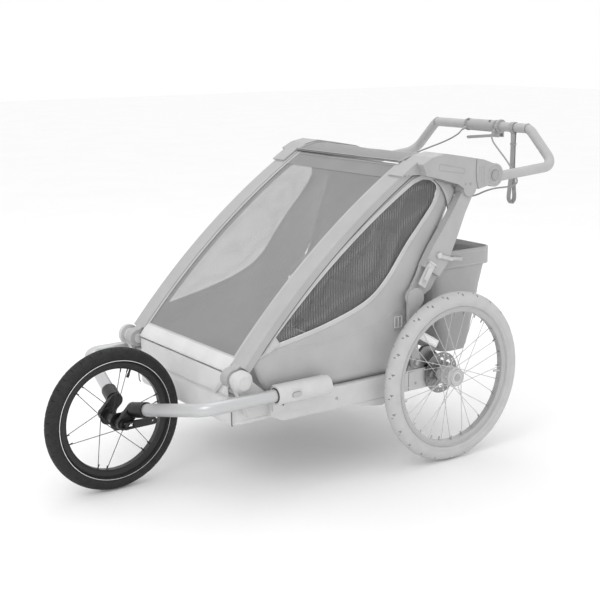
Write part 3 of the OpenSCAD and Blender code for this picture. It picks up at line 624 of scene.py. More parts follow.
def edge_distance(p, loop):
    best = 1e9
    for a, b in zip(loop, loop[1:] + loop[:1]):
        dx, dz = b[0] - a[0], b[1] - a[1]
        t = max(0, min(1, ((p[0] - a[0]) * dx + (p[1] - a[1]) * dz) / max(dx * dx + dz * dz, 1e-9)))
        best = min(best, math.hypot(p[0] - a[0] - t * dx, p[1] - a[1] - t * dz))
    return best


def size_of(loop):
    xs, zs = [p[0] for p in loop], [p[1] for p in loop]
    return max(xs) - min(xs), max(zs) - min(zs)


def patch(outline, holes, step, place):
    """A sheet of triangles inside an [x, z] outline and outside its holes, set in space by place(x, z)."""
    loops = [[tuple(p) for p in spaced([Vector((*q, 0)) for q in l], step, True)] for l in [outline, *holes]]
    loops = [[(p[0], p[1]) for p in l] for l in loops]
    points, edges = [], []
    for l in loops:
        n = len(points)
        points += l
        edges += [(n + i, n + (i + 1) % len(l)) for i in range(len(l))]
    xs, zs = [p[0] for p in loops[0]], [p[1] for p in loops[0]]
    rise = step * math.sqrt(3) / 2
    for j in range(int((max(zs) - min(zs)) / rise)):
        for i in range(int((max(xs) - min(xs)) / step) + 1):
            p = (min(xs) + step * (i + 0.5 * (j % 2)), min(zs) + rise * (j + 0.5))
            if all(edge_distance(p, l) > 0.6 * step for l in loops) and inside(p, loops[0]):
                if not any(inside(p, l) for l in loops[1:]):
                    points.append(p)
    flat, _, faces, *_ = geometry.delaunay_2d_cdt([Vector(p) for p in points], edges, [], 0, 1e-4)
    kept = []
    for f in faces:
        mid = [sum(flat[i][k] for i in f) / 3 for k in (0, 1)]
        if inside(mid, loops[0]) and not any(inside(mid, l) for l in loops[1:]):
            kept.append(list(f))
    return [place(p[0], p[1]) for p in flat], kept


def sheet_grid(nu, nv, place):
    """A sheet of squares, set in space by place(u, v) with u and v from 0 to 1."""
    points = [place(i / nu, j / nv) for i in range(nu + 1) for j in range(nv + 1)]
    w = nv + 1
    faces = [[i * w + j, i * w + j + 1, (i + 1) * w + j + 1, (i + 1) * w + j]
             for i in range(nu) for j in range(nv)]
    return points, faces


def ripple(p, scale, amount, seed=0.0):
    return amount * noise.noise(Vector(p) / scale + Vector((seed, seed, seed)))


# ---------- brake cables and wrist strap ----------

CABLE_R = 2.5
CABLE_LEFT = [
    (432, -84, 920), (422, -86, 914), (413, -92, 902), (405, -108, 886), (397, -136, 868),
    (384, -172, 850), (368, -210, 832), (352, -250, 806), (336, -282, 783), (306, -293, 772),
    (272, -293, 771), (232, -291, 770), (196, -290, 765), (166, -290, 758), (142, -290, 755),
    (125, -290, 759), (119, -290, 769), (119, -290, 780)]
CABLE_RIGHT = [
    (432, 52, 920), (422, 54, 914), (414, 62, 901), (409, 92, 884), (402, 134, 866),
    (386, 174, 849), (368, 212, 831), (352, 250, 806), (336, 282, 783), (306, 293, 772),
    (272, 293, 771), (232, 291, 770), (196, 290, 765), (166, 290, 758), (142, 290, 755),
    (125, 290, 759), (119, 290, 769), (119, 290, 780)]


def length_of(points):
    return sum((Vector(b) - Vector(a)).length for a, b in zip(points, points[1:])) * MM


def brake_cables():
    for side, route in ((LEFT, CABLE_LEFT), (RIGHT, CABLE_RIGHT)):
        line = smooth_path(route, 8)
        cable = build("cable_" + SIDES[side], [tube(line, CABLE_R, 12)], "cable_skin")
        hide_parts("brake_cable_" + SIDES[side])
        length_of(line)
        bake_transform(cable)
        start, second = Vector(route[0]), Vector(route[1])
        build("cable_boot_" + SIDES[side],
              [turned(start, second - start, [(4.4, -1.5), (4.4, 3), (3.6, 6), (3.3, 9), (2.7, 9.5)], 20)],
              "button_plastic", "handlebar")


STRAP_Y = -148
STRAP_W = 18


def wrist_strap():
    """A webbing loop over the crossbar whose two runs part towards the bottom."""
    top = HANDLE_Z
    down = [(HANDLE_X - 3.4, STRAP_Y, top - 17), (HANDLE_X - 2.6, STRAP_Y, top - 60),
            (HANDLE_X - 2.6, STRAP_Y + 1, top - 130), (HANDLE_X - 5.5, STRAP_Y + 4, top - 190),
            (HANDLE_X - 7.5, STRAP_Y + 5, top - 222)]
    bend = [(HANDLE_X - 5.5, STRAP_Y, top - 236), (HANDLE_X, STRAP_Y, top - 241),
            (HANDLE_X + 5.5, STRAP_Y, top - 236)]
    up = [(2 * HANDLE_X - x, 2 * STRAP_Y - y, z) for x, y, z in reversed(down)]
    arc = [(HANDLE_X + 16.8 * math.cos(a), STRAP_Y, top + 16.8 * math.sin(a))
           for a in (math.radians(d) for d in range(-60, 241, 20))]
    line = smooth_path(down + bend + up, 6) + arc
    strap = build("strap_loop", [ribbon(spaced(line, 5, True), (0, 1, 0), STRAP_W, 1.6, True)],
                  "webbing", "wrist_strap")
    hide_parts("wrist_strap")
    cloth = length_of(line)
    tack = (HANDLE_X, STRAP_Y, top - 34)
    face = HANDLE_X - 4.2
    stitch = []
    for dy in (-6, 6):
        stitch += stitches([(face, STRAP_Y + dy, top - 26), (face, STRAP_Y + dy, top - 46)],
                           (0, 1, 0), 3, 1.6)
    for dz in (-8, 0, 8):
        stitch += stitches([(face, STRAP_Y - 6, tack[2] + dz), (face, STRAP_Y + 6, tack[2] + dz)],
                           (0, 0, 1), 3, 1.6)
    build("strap_stitch", stitch, "thread", "wrist_strap")
    build("strap_keeper", [block((HANDLE_X, STRAP_Y, top - 52), (9.5, STRAP_W + 3, 5), 1)], "button_plastic",
          "wrist_strap")


# ---------- cabin: side panels with their windows ----------

PANEL_Y = 297.5
PANEL_T = 1.8
UNDER_HOUSING = [(-83, 834), (-36, 823), (41, 801), (58, 790)]
BEAM_TOP = 273


def arch_line(r, count, from_angle=ANGLE_FOOT, to_angle=ANGLE_HEAD, r2=None):
    out = []
    for i in range(count + 1):
        t = i / count
        out.append(on_arch(from_angle + (to_angle - from_angle) * t, r + ((r2 or r) - r) * t))
    return out


def panel_outline():
    rear = [(54, 775), (30, 728), (6, 680), (-36, 612), (-68, 556), (-90, 505), (-108, 455), (-106, 400),
            (-92, 345), (-72, 300), (-60, BEAM_TOP + 1)]
    front = [(-360, BEAM_TOP + 1), (JOINT.x + 93, BEAM_TOP + 18), (JOINT.x + 67, BEAM_TOP + 51)]
    inner = ARCH_R - ARCH_DEPTH - 0.3
    arch = arch_line(inner, 18, ANGLE_FOOT - math.radians(0.5), ANGLE_HEAD + math.radians(0.5))
    return [Vector(p) for p in arch + [(x, z - 1) for x, z in UNDER_HOUSING] + rear + front]


def window_outline():
    lower = smooth_path([(-6, 782, 0), (-24, 748, 0), (-76, 690, 0), (-118, 646, 0), (-156, 598, 0),
                         (-192, 552, 0), (-240, 510, 0), (-310, 478, 0), (-412, 449, 0), (-500, 431, 0),
                         (-566, 419, 0)], 4)
    nose = [(-578, 418), (-584, 423), (-580, 430)]
    upper = arch_line(2268, 20, arch_angle((-572, 440)), arch_angle((-96, 812)), 2254)
    corner = [(-60, 822), (-30, 818), (-8, 803)]
    lower = [Vector((p[0], p[1])) for p in lower]
    return lower + [Vector(p) for p in nose] + upper + [Vector(p) for p in corner]


PANEL = panel_outline()
WINDOW = window_outline()


def panel_place(side, lift=0.0):
    """The panel swells a little outwards between its seams, and creases."""
    loops = [[tuple(p) for p in PANEL]]

    def place(x, z):
        d = edge_distance((x, z), loops[0])
        swell = min(1.0, d / 90) ** 0.7
        crease = ripple((x + 0.5 * z, z, 0), 130, 2.2, side * 3.0) * swell
        return Vector((x, side * (PANEL_Y - 1 + 3.6 * swell + crease + lift), z))
    return place


def joint_blend(obj):
    """Bakes the cloth's transform into its mesh."""
    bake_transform(obj)


def shifted(loop, d):
    return [Vector(p) + n * d for p, n in zip(loop, outline_normals(loop))]


def lifted(loop, place):
    return [place(p[0], p[1]) for p in loop]


def side_panels():
    window = [Vector((p[0], p[1])) for p in spaced([Vector((*q, 0)) for q in WINDOW], 9, True)]
    for side in (LEFT, RIGHT):
        name = SIDES[side]
        place = panel_place(side)
        panel = build("side_cloth_" + name, [patch(PANEL, [window], 17, place)], "body_fabric")
        thicken(panel, PANEL_T)
        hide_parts("side_panel_" + name)
        w, h = size_of(PANEL)
        joint_blend(panel)

        def net_place(x, z):
            d = edge_distance((x, z), [tuple(p) for p in WINDOW])
            sag = 3.0 * min(1.0, d / 60) + ripple((x, z, 0), 90, 1.8, side)
            return Vector((x, side * (PANEL_Y - 2.2 - sag), z))
        grown = shifted(window, 7)
        net = build("window_net_" + name, [patch(grown, [], 15, net_place)], "window_fabric")
        w, h = size_of(grown)
        joint_blend(net)
        raised = panel_place(side, 1.7)
        hem_line = shifted(window, 5.5)
        hem = ribbon(lifted(spaced_2d(hem_line), raised), window_across(hem_line), 11, 1.8, True)
        joint_blend(build("window_hem_" + name, [hem], "hem_fabric"))
        raised = panel_place(side, 2.8)
        seams = []
        for d in (2.0, 8.6):
            seams += stitches(lifted(shifted(window, d), raised), (0, side, 0.3), closed=True)
        joint_blend(build("window_stitch_" + name, seams, "thread"))
        lip = lifted(shifted(window, -0.6), panel_place(side, 1.2))
        joint_blend(build("window_piping_" + name, [tube(spaced(lip, 8, True), 1.6, 8, True)], "thread"))


def spaced_2d(loop):
    return [Vector((p[0], p[1])) for p in loop]


def window_across(loop):
    """The hem's width runs across the window's edge, in the panel's plane."""
    return [Vector((n.x, 0, n.y)) for n in outline_normals(loop)]


def panel_trim():
    """Piping under the arch, the beam's seam, the rear flap, the front gusset and the buckle strap."""
    for side in (LEFT, RIGHT):
        name = SIDES[side]
        over = panel_place(side, 2.4)
        cord = [over(p.x, p.y) for p in arch_line(2273, 40, arch_angle((-628, 415)), arch_angle((-88, 832)))]
        joint_blend(build("arch_piping_" + name, [tube(cord, 1.5)], "dark_line"))
        seam = [over(x, z) for x, z in arc_points((-584, 402), (-300, 412), (-135, 470), 24)]
        joint_blend(build("low_seam_" + name, stitches(seam, (0, side, 0.3), 5, 3), "thread"))
        beam_line = [(-60, 277), (-200, 276.5), (-360, 276.5), (-480, 284), (-594, 294)]
        edge = spaced([over(x, z) for x, z in beam_line], 14)
        build("beam_piping_" + name, [tube(edge, 1.7)], "dark_line", "chassis")
        rear = [Vector((p[0], p[1], 0)) for p in PANEL]
        rear = [p for p in rear if p.x > -112 and p.y < 770 and p.y > 300]
        line = [over(p.x - 3, p.y) for p in smooth_path(rear, 3)]
        joint_blend(build("rear_piping_" + name, [tube(line, 1.8)], "hem_fabric"))
        rear_flap(side)
        front_gusset(side)
        buckle_strap(side)


def arc_points(a, b, c, count):
    """A smooth line from a past b to c."""
    a, b, c = Vector(a), Vector(b), Vector(c)
    handle = 2 * b - (a + c) / 2
    steps = [i / count for i in range(count + 1)]
    return [a * (1 - t) ** 2 + handle * 2 * t * (1 - t) + c * t * t for t in steps]


def rear_flap(side):
    """A pointed tongue of cloth that comes down from the housing over the window's rear corner."""
    left = [(-20, 814), (2, 795), (18, 772), (28, 748), (34, 722)]
    right = [(38, 716), (44, 730), (52, 752), (58, 782), (44, 800), (10, 810)]
    loop = [Vector((p[0], p[1])) for p in smooth_path([(*p, 0) for p in left + right], 4, True)]

    def place(x, z):
        fall = max(0.0, (810 - z) / 94)
        return Vector((x, side * (PANEL_Y + 3.4 + 1.6 * math.sin(math.pi * fall)), z))
    flap = build("rear_flap_" + SIDES[side], [patch(loop, [], 8, place)], "hem_fabric")
    thicken(flap, 1.6)
    w, h = size_of(loop)
    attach(flap, "upper_frame")
    edge = [place(p[0], p[1]) + Vector((0, side * 0.8, 0)) for p in smooth_path([(*p, 0) for p in left], 4)]
    build("flap_piping_" + SIDES[side], [tube(edge, 1.2)], "dark_line", "upper_frame")


def front_gusset(side):
    """The stiff pointed patch between the arch and the window's front corner."""
    arch = arch_line(2272, 6, arch_angle((-622, 412)), arch_angle((-583, 455)))
    corner = [(-574, 449), (-553, 416), (-590, 398), (-630, 386)]
    loop = [Vector(p) for p in arch] + [Vector(p) for p in corner]
    raised = panel_place(side, 2.2)
    piece = build("front_gusset_" + SIDES[side], [patch(loop, [], 8, raised)], "hem_fabric")
    thicken(piece, 1.6)
    joint_blend(piece)


def buckle_strap(side):
    """A short webbing tab with a plain buckle, low on the panel."""
    over = panel_place(side)
    at = over(-148, 420)
    web = [at + Vector((0, side * 2.6, z)) for z in (27, 14, 0, -14, -27)]
    strap = build("panel_strap_" + SIDES[side], [ribbon(web, (1, 0, 0), 26, 1.6)], "webbing", "chassis")
    parts = [block(at + Vector((x, side * 4.6, 0)), (4, 5, 34), 1.2) for x in (-13, 0, 13)]
    parts += [block(at + Vector((0, side * 4.2, z)), (30, 4, 4), 1.2) for z in (-15, 15)]
    build("panel_buckle_" + SIDES[side], parts, "pale_plastic", "chassis")


# ---------- cabin: front cover, roof and footwell ----------

COVER_R = ARCH_R - 3.5
STRIP_TOP = (-660, 388)
STRIP_FOOT = (JOINT.x, JOINT.y + 8)
COVER_HALF = CABIN_HALF - 0.6


def front_cover():
    top = ANGLE_HEAD + math.radians(0.1)
    foot = arch_angle(STRIP_TOP)

    def net(u, v):
        angle = top + (foot - top) * u
        y = (2 * v - 1) * COVER_HALF
        across = math.sin(math.pi * v)
        dip = 3.0 * across * math.sin(math.pi * u) + ripple((y, u * 700, 0), 150, 1.6) * across
        p = on_arch(angle, COVER_R - dip)
        return Vector((p.x, y, p.y))
    cover = build("front_net", [sheet_grid(60, 40, net)], "mesh_fabric")
    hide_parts("front_cover")
    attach(cover, "upper_frame")

    def band(u0, u1, lift=1.4):
        def place(u, v):
            p = net(u0 + (u1 - u0) * u, v)
            out = (Vector((p.x, p.z)) - ARCH_CENTRE).normalized()
            return Vector((p.x + out.x * lift, p.y, p.z + out.y * lift))
        return place
    hem = build("front_top_hem", [sheet_grid(2, 40, band(0.0, 0.014))], "roof_trim")
    thicken(hem, 1.2)
    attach(hem, "upper_frame")
    shade = build("front_top_shade", [sheet_grid(8, 40, band(0.014, 0.085, 0.9))], "roof_fabric")
    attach(shade, "upper_frame")
    edges = []
    for v in (0.012, 0.988):
        edges.append(ribbon([band(0, 1, 1.6)(i / 60, v) for i in range(61)], (0, 1, 0), 11, 1.4))
    build("front_side_hems", edges, "body_fabric", "upper_frame")
    front_strip(foot)


def front_strip(foot):
    """The solid cloth strip below the net, down to the front joint's line."""
    start = on_arch(foot, COVER_R)
    end = Vector(STRIP_FOOT)

    def place(u, v):
        y = (2 * v - 1) * COVER_HALF
        p = start.lerp(end, u)
        puff = 3.5 * math.sin(math.pi * u) * (0.6 + 0.4 * math.sin(math.pi * v))
        crease = ripple((y, 60 * u, 0), 70, 1.2, 5.0) * math.sin(math.pi * v)
        return Vector((p.x - puff - crease, y, p.y + 0.3 * puff))
    strip = build("front_strip", [sheet_grid(10, 60, place)], "lower_fabric")
    thicken(strip, 1.8)
    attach(strip, "upper_frame")
    rows = []
    for u in (0.06, 0.88):
        rows += stitches([place(u, i / 50) + Vector((-1.2, 0, 0.4)) for i in range(51)], (0.4, 0, 1), 4.5, 3)
    build("strip_stitch", rows, "thread", "upper_frame")
    seam = [place(0, i / 50) + Vector((-0.6, 0, 0.8)) for i in range(51)]
    build("strip_piping", [tube(seam, 1.8)], "hem_fabric", "upper_frame")


ROOF_LINE = [(-104, 867), (-66, 880), (-15, 886), (58, 876), (137, 860), (160, 852)]
ROOF_HALF = 254


def roof_cover():
    line = smooth_path([(x, z, 0) for x, z in ROOF_LINE], 8)
    line = spaced(line, 8)
    n = len(line) - 1

    def place(u, v):
        p = line[round(u * n)]
        y = (2 * v - 1) * ROOF_HALF
        across = math.sin(math.pi * v)
        sag = 4.5 * across * math.sin(math.pi * min(1.0, u * 1.1)) ** 0.8
        crease = ripple((p.x, y, 0), 80, 1.8, 9.0) * across
        return Vector((p.x, y, p.y - 1.5 - sag + crease))
    roof = build("roof_cloth", [sheet_grid(n, 44, place)], "roof_fabric")
    thicken(roof, 1.8)
    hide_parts("roof_cover")
    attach(roof, "upper_frame")
    lift = Vector((0, 0, 1.7))
    trims = []
    for v in (0.02, 0.98):
        trims.append(ribbon([place(i / n, v) + lift for i in range(n + 1)], (0, 1, 0), 12, 1.4))
    for u in (0.015, 0.985):
        k = round(u * n) / n
        trims.append(ribbon([place(k, j / 44) + lift for j in range(45)], (1, 0, 0), 12, 1.4))
    build("roof_hems", trims, "roof_trim", "upper_frame")
    rows = []
    k = round(0.36 * n) / n
    rows += stitches([place(k, j / 44) + Vector((0, 0, 1.6)) for j in range(45)], (1, 0, 0), 4, 3)
    k = round(0.4 * n) / n
    rows += stitches([place(k, j / 44) + Vector((0, 0, 1.6)) for j in range(45)], (1, 0, 0), 4, 3)
    build("roof_stitch", rows, "thread", "upper_frame")


FLOOR_Z = 201
TUB_TOP = 282
TUB_HALF = 260
TUB_FRONT = JOINT.x + 1
TUB_REAR = -471


def rounded_rectangle(x0, x1, half, r, count=6):
    """A closed plan outline from x0 to x1, half to either side, with round corners."""
    out = []
    for cx, cy, a0 in ((x0 + r, -half + r, 180), (x1 - r, -half + r, 270),
                       (x1 - r, half - r, 0), (x0 + r, half - r, 90)):
        for i in range(count + 1):
            a = math.radians(a0 + 90 * i / count)
            out.append(Vector((cx + r * math.cos(a), cy + r * math.sin(a))))
    return out


def footwell():
    """A cloth tub with a stiff floor, soft corners and bound edges."""
    levels = [(FLOOR_Z, 16), (FLOOR_Z + 0.6, 9), (FLOOR_Z + 3, 4), (FLOOR_Z + 8, 1), (FLOOR_Z + 16, 0),
              (FLOOR_Z + 40, -0.4), (FLOOR_Z + 62, -0.4), (TUB_TOP, 0)]
    points, faces = [], []
    rings = []
    for z, pull in levels:
        plan = rounded_rectangle(TUB_FRONT + pull, TUB_REAR - pull, TUB_HALF - pull, 24)
        plan = spaced([Vector((p.x, p.y, 0)) for p in plan], 16, True)
        rings.append([Vector((p.x, p.y, z + ripple((p.x, p.y, z), 90, 0.8) * (0 if z < FLOOR_Z + 5 else 1)))
                      for p in plan])
    count = min(len(r) for r in rings)
    for r, (z, pull) in zip(rings, levels):
        plan = rounded_rectangle(TUB_FRONT + pull, TUB_REAR - pull, TUB_HALF - pull, 24)
        total = length_of([*plan_3d(plan), plan_3d(plan)[0]]) / MM
        ringed = spaced(plan_3d(plan), total / count, True)[:count]
        points += [Vector((p.x, p.y, z)) for p in ringed]
    for i in range(len(levels) - 1):
        a, b = i * count, (i + 1) * count
        faces += [[a + k, a + (k + 1) % count, b + (k + 1) % count, b + k] for k in range(count)]
    faces.append(list(range(count)))
    tub = build("footwell_tub", [(points, faces)], "lower_fabric", sharp=60)
    thicken(tub, 2.4, -1.0)
    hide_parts("footwell")
    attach(tub, "chassis")

    def apron(u, v):
        y = (2 * v - 1) * (CABIN_HALF - 1)
        z = TUB_TOP - 6 + (JOINT.y + 3 - TUB_TOP + 6) * u
        x = TUB_FRONT + 1.5 + 1.5 * math.sin(math.pi * u) + ripple((y, z, 0), 60, 1.0, 2.0)
        return Vector((x, y, z))
    front = build("footwell_apron", [sheet_grid(8, 50, apron)], "lower_fabric")
    thicken(front, 1.8)
    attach(front, "chassis")
    footwell_trim()


def plan_3d(plan):
    return [Vector((p.x, p.y, 0)) for p in plan]


def footwell_trim():
    rim = [Vector((p.x, p.y, TUB_TOP)) for p in rounded_rectangle(TUB_FRONT, TUB_REAR, TUB_HALF, 24)]
    build("tub_binding", [tube(spaced(rim, 12, True), 2.2, 8, True)], "hem_fabric", "chassis")
    parts = []
    for side in (LEFT, RIGHT):
        corner = Vector((TUB_FRONT + 7, side * (TUB_HALF - 7), 0))
        out = Vector((-1, side, 0)).normalized()
        line = [corner + out * (9.4 - pull) + Vector((0, 0, z)) for z, pull in
                ((FLOOR_Z + 3, 5), (FLOOR_Z + 10, 1), (FLOOR_Z + 30, 0), (FLOOR_Z + 60, 0), (TUB_TOP, 0))]
        parts.append(tube(smooth_path(line, 4), 1.8))
    build("tub_corner_piping", parts, "dark_line", "chassis")
    rows = []
    for z in (FLOOR_Z + 12, TUB_TOP - 9):
        plan = rounded_rectangle(TUB_FRONT - 0.4, TUB_REAR + 0.4, TUB_HALF + 0.4, 24)
        rows += stitches([Vector((p.x, p.y, z)) for p in plan], (0, 0, 1), 4.5, 3.2, True)
    build("tub_stitch", rows, "thread", "chassis")
    pull_tab()


def pull_tab():
    """The webbing tab of the front cover's zip, near the left corner."""
    line = smooth_path([(TUB_FRONT - 1, -236, 338), (TUB_FRONT - 4, -230, 330), (TUB_FRONT - 5, -205, 304),
                        (TUB_FRONT - 4, -184, 284)], 6)
    tab = build("pull_tab", [ribbon(line, (0, 0.7, 0.7), 10, 1.4)], "hem_fabric", "chassis")
    length_of(line)


# ---------- seat ----------


def puffed(obj, pressure, cap):
    """Blows the closed cloth up from inside, but moves no point further than cap millimetres."""
    rest = [v.co.copy() for v in obj.data.vertices]
    scene = bpy.context.scene
    cloth = obj.modifiers.new("cloth", "CLOTH")
    s = cloth.settings
    s.quality = 5
    s.mass = 0.3
    s.tension_stiffness = 20
    s.compression_stiffness = 20
    s.bending_stiffness = 0.8
    s.use_pressure = True
    s.uniform_pressure_force = pressure
    s.effector_weights.gravity = 0
    cloth.point_cache.frame_start = 1
    cloth.point_cache.frame_end = 20
    for f in range(1, 21):
        scene.frame_set(f)
    graph = bpy.context.evaluated_depsgraph_get()
    moved = obj.evaluated_get(graph).data
    final = []
    for a, v in zip(rest, moved.vertices):
        d = v.co - a
        final.append(a + d * min(1.0, cap * MM / max(d.length, 1e-9)))
    obj.modifiers.clear()
    for v, co in zip(obj.data.vertices, final):
        v.co = co
    scene.frame_set(1)
    return obj


def cushion_mesh(name, part, material, voxel=7.0, pressure=4.0, cap=9.0):
    obj = build(name, [part], material)
    mod = obj.modifiers.new("even", "REMESH")
    mod.mode = "VOXEL"
    mod.voxel_size = voxel * MM
    mod.use_smooth_shade = True
    applied(obj)
    puffed(obj, pressure, cap)
    obj.data.materials.clear()
    obj.data.materials.append(MATERIALS[material])
    return obj


def groove(obj, depth_at):
    """Presses sewn channels into a puffed piece: depth_at(p) is how far a point moves, as a vector."""
    for v in obj.data.vertices:
        p = from_row(v.co)
        v.co = row(p + depth_at(p))
    return obj


def smoothed(obj):
    m = obj.modifiers.new("smooth", "SUBSURF")
    m.levels = 1
    m.render_levels = 1
    return applied(obj)


SEAT_FRONT, SEAT_REAR = -470, -166
SEAT_TOP, SEAT_FOOT = 319, 266
SEAT_HALF = 281


def seat():
    at = ((SEAT_FRONT + SEAT_REAR) / 2, 0, (SEAT_TOP + SEAT_FOOT) / 2)
    size = (SEAT_REAR - SEAT_FRONT - 10, 2 * SEAT_HALF - 10, SEAT_TOP - SEAT_FOOT - 10)
    cushion = cushion_mesh("seat_pad", block(at, size, 15), "seat_fabric")

    def channels(p):
        top = max(0.0, min(1.0, (p.z - at[2]) / 12))
        dip = 9 * math.exp(-(p.y / 7) ** 2)
        for x in (-395, -325, -255):
            dip += 3.5 * math.exp(-((p.x - x) / 5) ** 2)
        return Vector((0, 0, -dip * top))
    groove(cushion, channels)
    smoothed(cushion)
    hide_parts("seat_cushion")
    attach(cushion, "chassis")
    welt = rounded_rectangle(SEAT_FRONT + 4, SEAT_REAR - 2, SEAT_HALF - 4, 16)
    build("seat_welt", [tube([Vector((p.x, p.y, at[2] + 2)) for p in welt], 2.6, 8, True)], "seat_trim",
          "chassis")


BACK_FOOT = Vector((-152, 0, 300))
BACK_HEAD = Vector((36, 0, 820))
BACK_HALF = 252


def backrest():
    """A tall pad behind the seat, which leans back."""
    along = (BACK_HEAD - BACK_FOOT).normalized()
    out = Vector((-along.z, 0, along.x))
    length = (BACK_HEAD - BACK_FOOT).length
    lean = math.degrees(math.atan2(along.x, along.z))
    mid = (BACK_FOOT + BACK_HEAD) / 2
    pad = cushion_mesh("back_pad", block(mid, (16, 2 * BACK_HALF - 8, length - 8), 7, (0, lean, 0)),
                       "seat_fabric", 7.0, 3.0, 6.0)

    def channels(p):
        front = max(0.0, min(1.0, ((p - mid).dot(out) + 2) / 6))
        s = (p - BACK_FOOT).dot(along)
        dip = 7 * math.exp(-(p.y / 7) ** 2)
        for k in range(1, 6):
            dip += 3 * math.exp(-((s - length * k / 6) / 5) ** 2)
        return out * (-dip * front)
    groove(pad, channels)
    smoothed(pad)
    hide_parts("backrest")
    back_blend(pad)
    rear = build("back_cloth", [sheet_grid(30, 30, back_sheet(along, out, length))], "roof_fabric")
    back_blend(rear)
    harness(along, out)


def back_sheet(along, out, length):
    def place(u, v):
        y = (2 * v - 1) * BACK_HALF * 0.995
        sag = 2.5 * math.sin(math.pi * u) * math.sin(math.pi * v) + ripple((y, u * 500, 0), 110, 2.0)
        return BACK_FOOT + along * (u * length) - out * (12.5 + sag) + Vector((0, y, 0))
    return place


def back_blend(obj):
    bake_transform(obj)


def harness(along, out):
    """Two five-point harnesses: shoulder straps, pads, lap straps and a plain buckle each."""
    for name, y in (("a", -125), ("b", 125)):
        straps = []
        pads = []
        for dy in (-46, 46):
            top = BACK_FOOT + along * 400 + out * 13.5 + Vector((0, y + dy, 0))
            low_end = BACK_FOOT + along * 70 + out * 20 + Vector((0, y + dy * 0.35, 0))
            mid = BACK_FOOT + along * 210 + out * 17.5 + Vector((0, y + dy * 0.8, 0))
            line = smooth_path([top - out * 4, top, mid, low_end], 8)
            straps.append(ribbon(line, (0, 1, 0), 24, 1.6))
            pads.append(block(top.lerp(mid, 0.55) + out * 2, (9, 46, 130), 3.5,
                              (0, math.degrees(math.atan2(along.x, along.z)), 0)))
        web = build("harness_straps_" + name, straps, "dark_webbing")
        back_blend(web)
        back_blend(build("harness_pads_" + name, pads, "seat_trim"))
        at = Vector((-196, y, SEAT_TOP + 22))
        lap = []
        for s in (-1, 1):
            hip = [(-180, y + s * 128, SEAT_TOP + 2), (-190, y + s * 80, SEAT_TOP + 9),
                   (-196, y + s * 30, SEAT_TOP + 21)]
            lap.append(ribbon(smooth_path(hip, 6), (0, 0.2, 1), 24, 1.6))
        crotch = [(-262, y, SEAT_TOP + 1), (-236, y, SEAT_TOP + 8), (-204, y, SEAT_TOP + 18)]
        lap.append(ribbon(smooth_path(crotch, 6), (0, 1, 0), 24, 1.6))
        build("lap_straps_" + name, lap, "dark_webbing", "chassis")
        build("harness_buckle_" + name, [block(at, (14, 44, 40), 5, (0, 30, 0)),
                                         block(at + Vector((-8, 0, 4)), (6, 20, 18), 2.5, (0, 30, 0))],
              "black_plastic", "chassis")


# ---------- cargo bag ----------

BAG_HALF = 251
BAG_LEVELS = 22


def bag_section(t):
    """The bag's front, rear and height at t, from its foot to its rim."""
    foot = min(1.0, t / 0.04)
    return 76 - 64 * t, 174 + 8 * foot + 80 * t, 281 + 305 * t


def bag_ring(t, inset, count):
    front, rear, z = bag_section(t)
    plan = rounded_rectangle(front + inset, rear - inset, BAG_HALF - inset, 26)
    total = sum((b - a).length for a, b in zip(plan, plan[1:] + plan[:1]))
    line = spaced(plan_3d(plan), total / count, True)[:count]
    out = []
    mid = Vector(((front + rear) / 2, 0, 0))
    for p in line:
        u = abs(p.y) / BAG_HALF
        slack = math.sin(math.pi * min(1.0, t * 1.02)) * (1 - u ** 6)
        pull = 5.0 * slack + ripple((p.x, p.y, z), 75, 3.0, 4.0) * min(1.0, 4 * t * (1 - t) + 0.15)
        to_mid = Vector((mid.x - p.x, 0, 0)) if abs(p.y) < BAG_HALF - 40 else Vector((0, -p.y, 0))
        out.append(Vector((p.x, p.y, z)) + to_mid.normalized() * pull)
    return out


def cargo_bag():
    count = 110
    outer = [bag_ring(i / BAG_LEVELS, 0, count) for i in range(BAG_LEVELS + 1)]
    points = [p for r in outer for p in r]
    faces = []
    for i in range(BAG_LEVELS):
        a, b = i * count, (i + 1) * count
        faces += [[a + k, a + (k + 1) % count, b + (k + 1) % count, b + k] for k in range(count)]
    faces.append(list(range(count)))
    bag = build("bag_shell", [(points, faces)], "bag_fabric", sharp=60)
    thicken(bag, 2.6, -1.0)
    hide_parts("cargo_bag")
    squash_bag(bag)
    rim = outer[-1]
    below = [p + Vector((0, 0, -24)) + rim_out(p, 3.4) for p in rim]
    band = build("bag_rim", [ribbon(below, (0, 0, 1), 50, 3.0, True),
                             tube([p + rim_out(p, 1.2) for p in rim], 3.6, 8, True)],
                 "bag_fabric")
    squash_bag(band)
    rows = []
    for dz in (-44, -6):
        rows += stitches([p + Vector((0, 0, dz)) + rim_out(p, 5.2) for p in rim], (0, 0, 1), 4.5, 3, True)
    squash_bag(build("bag_stitch", rows, "thread"))
    bag_fittings()


def rim_out(p, d):
    away = Vector((p.x - 135, p.y * 0.55, 0))
    return away.normalized() * d


def squash_bag(obj):
    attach(obj, "chassis")
    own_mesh(obj)


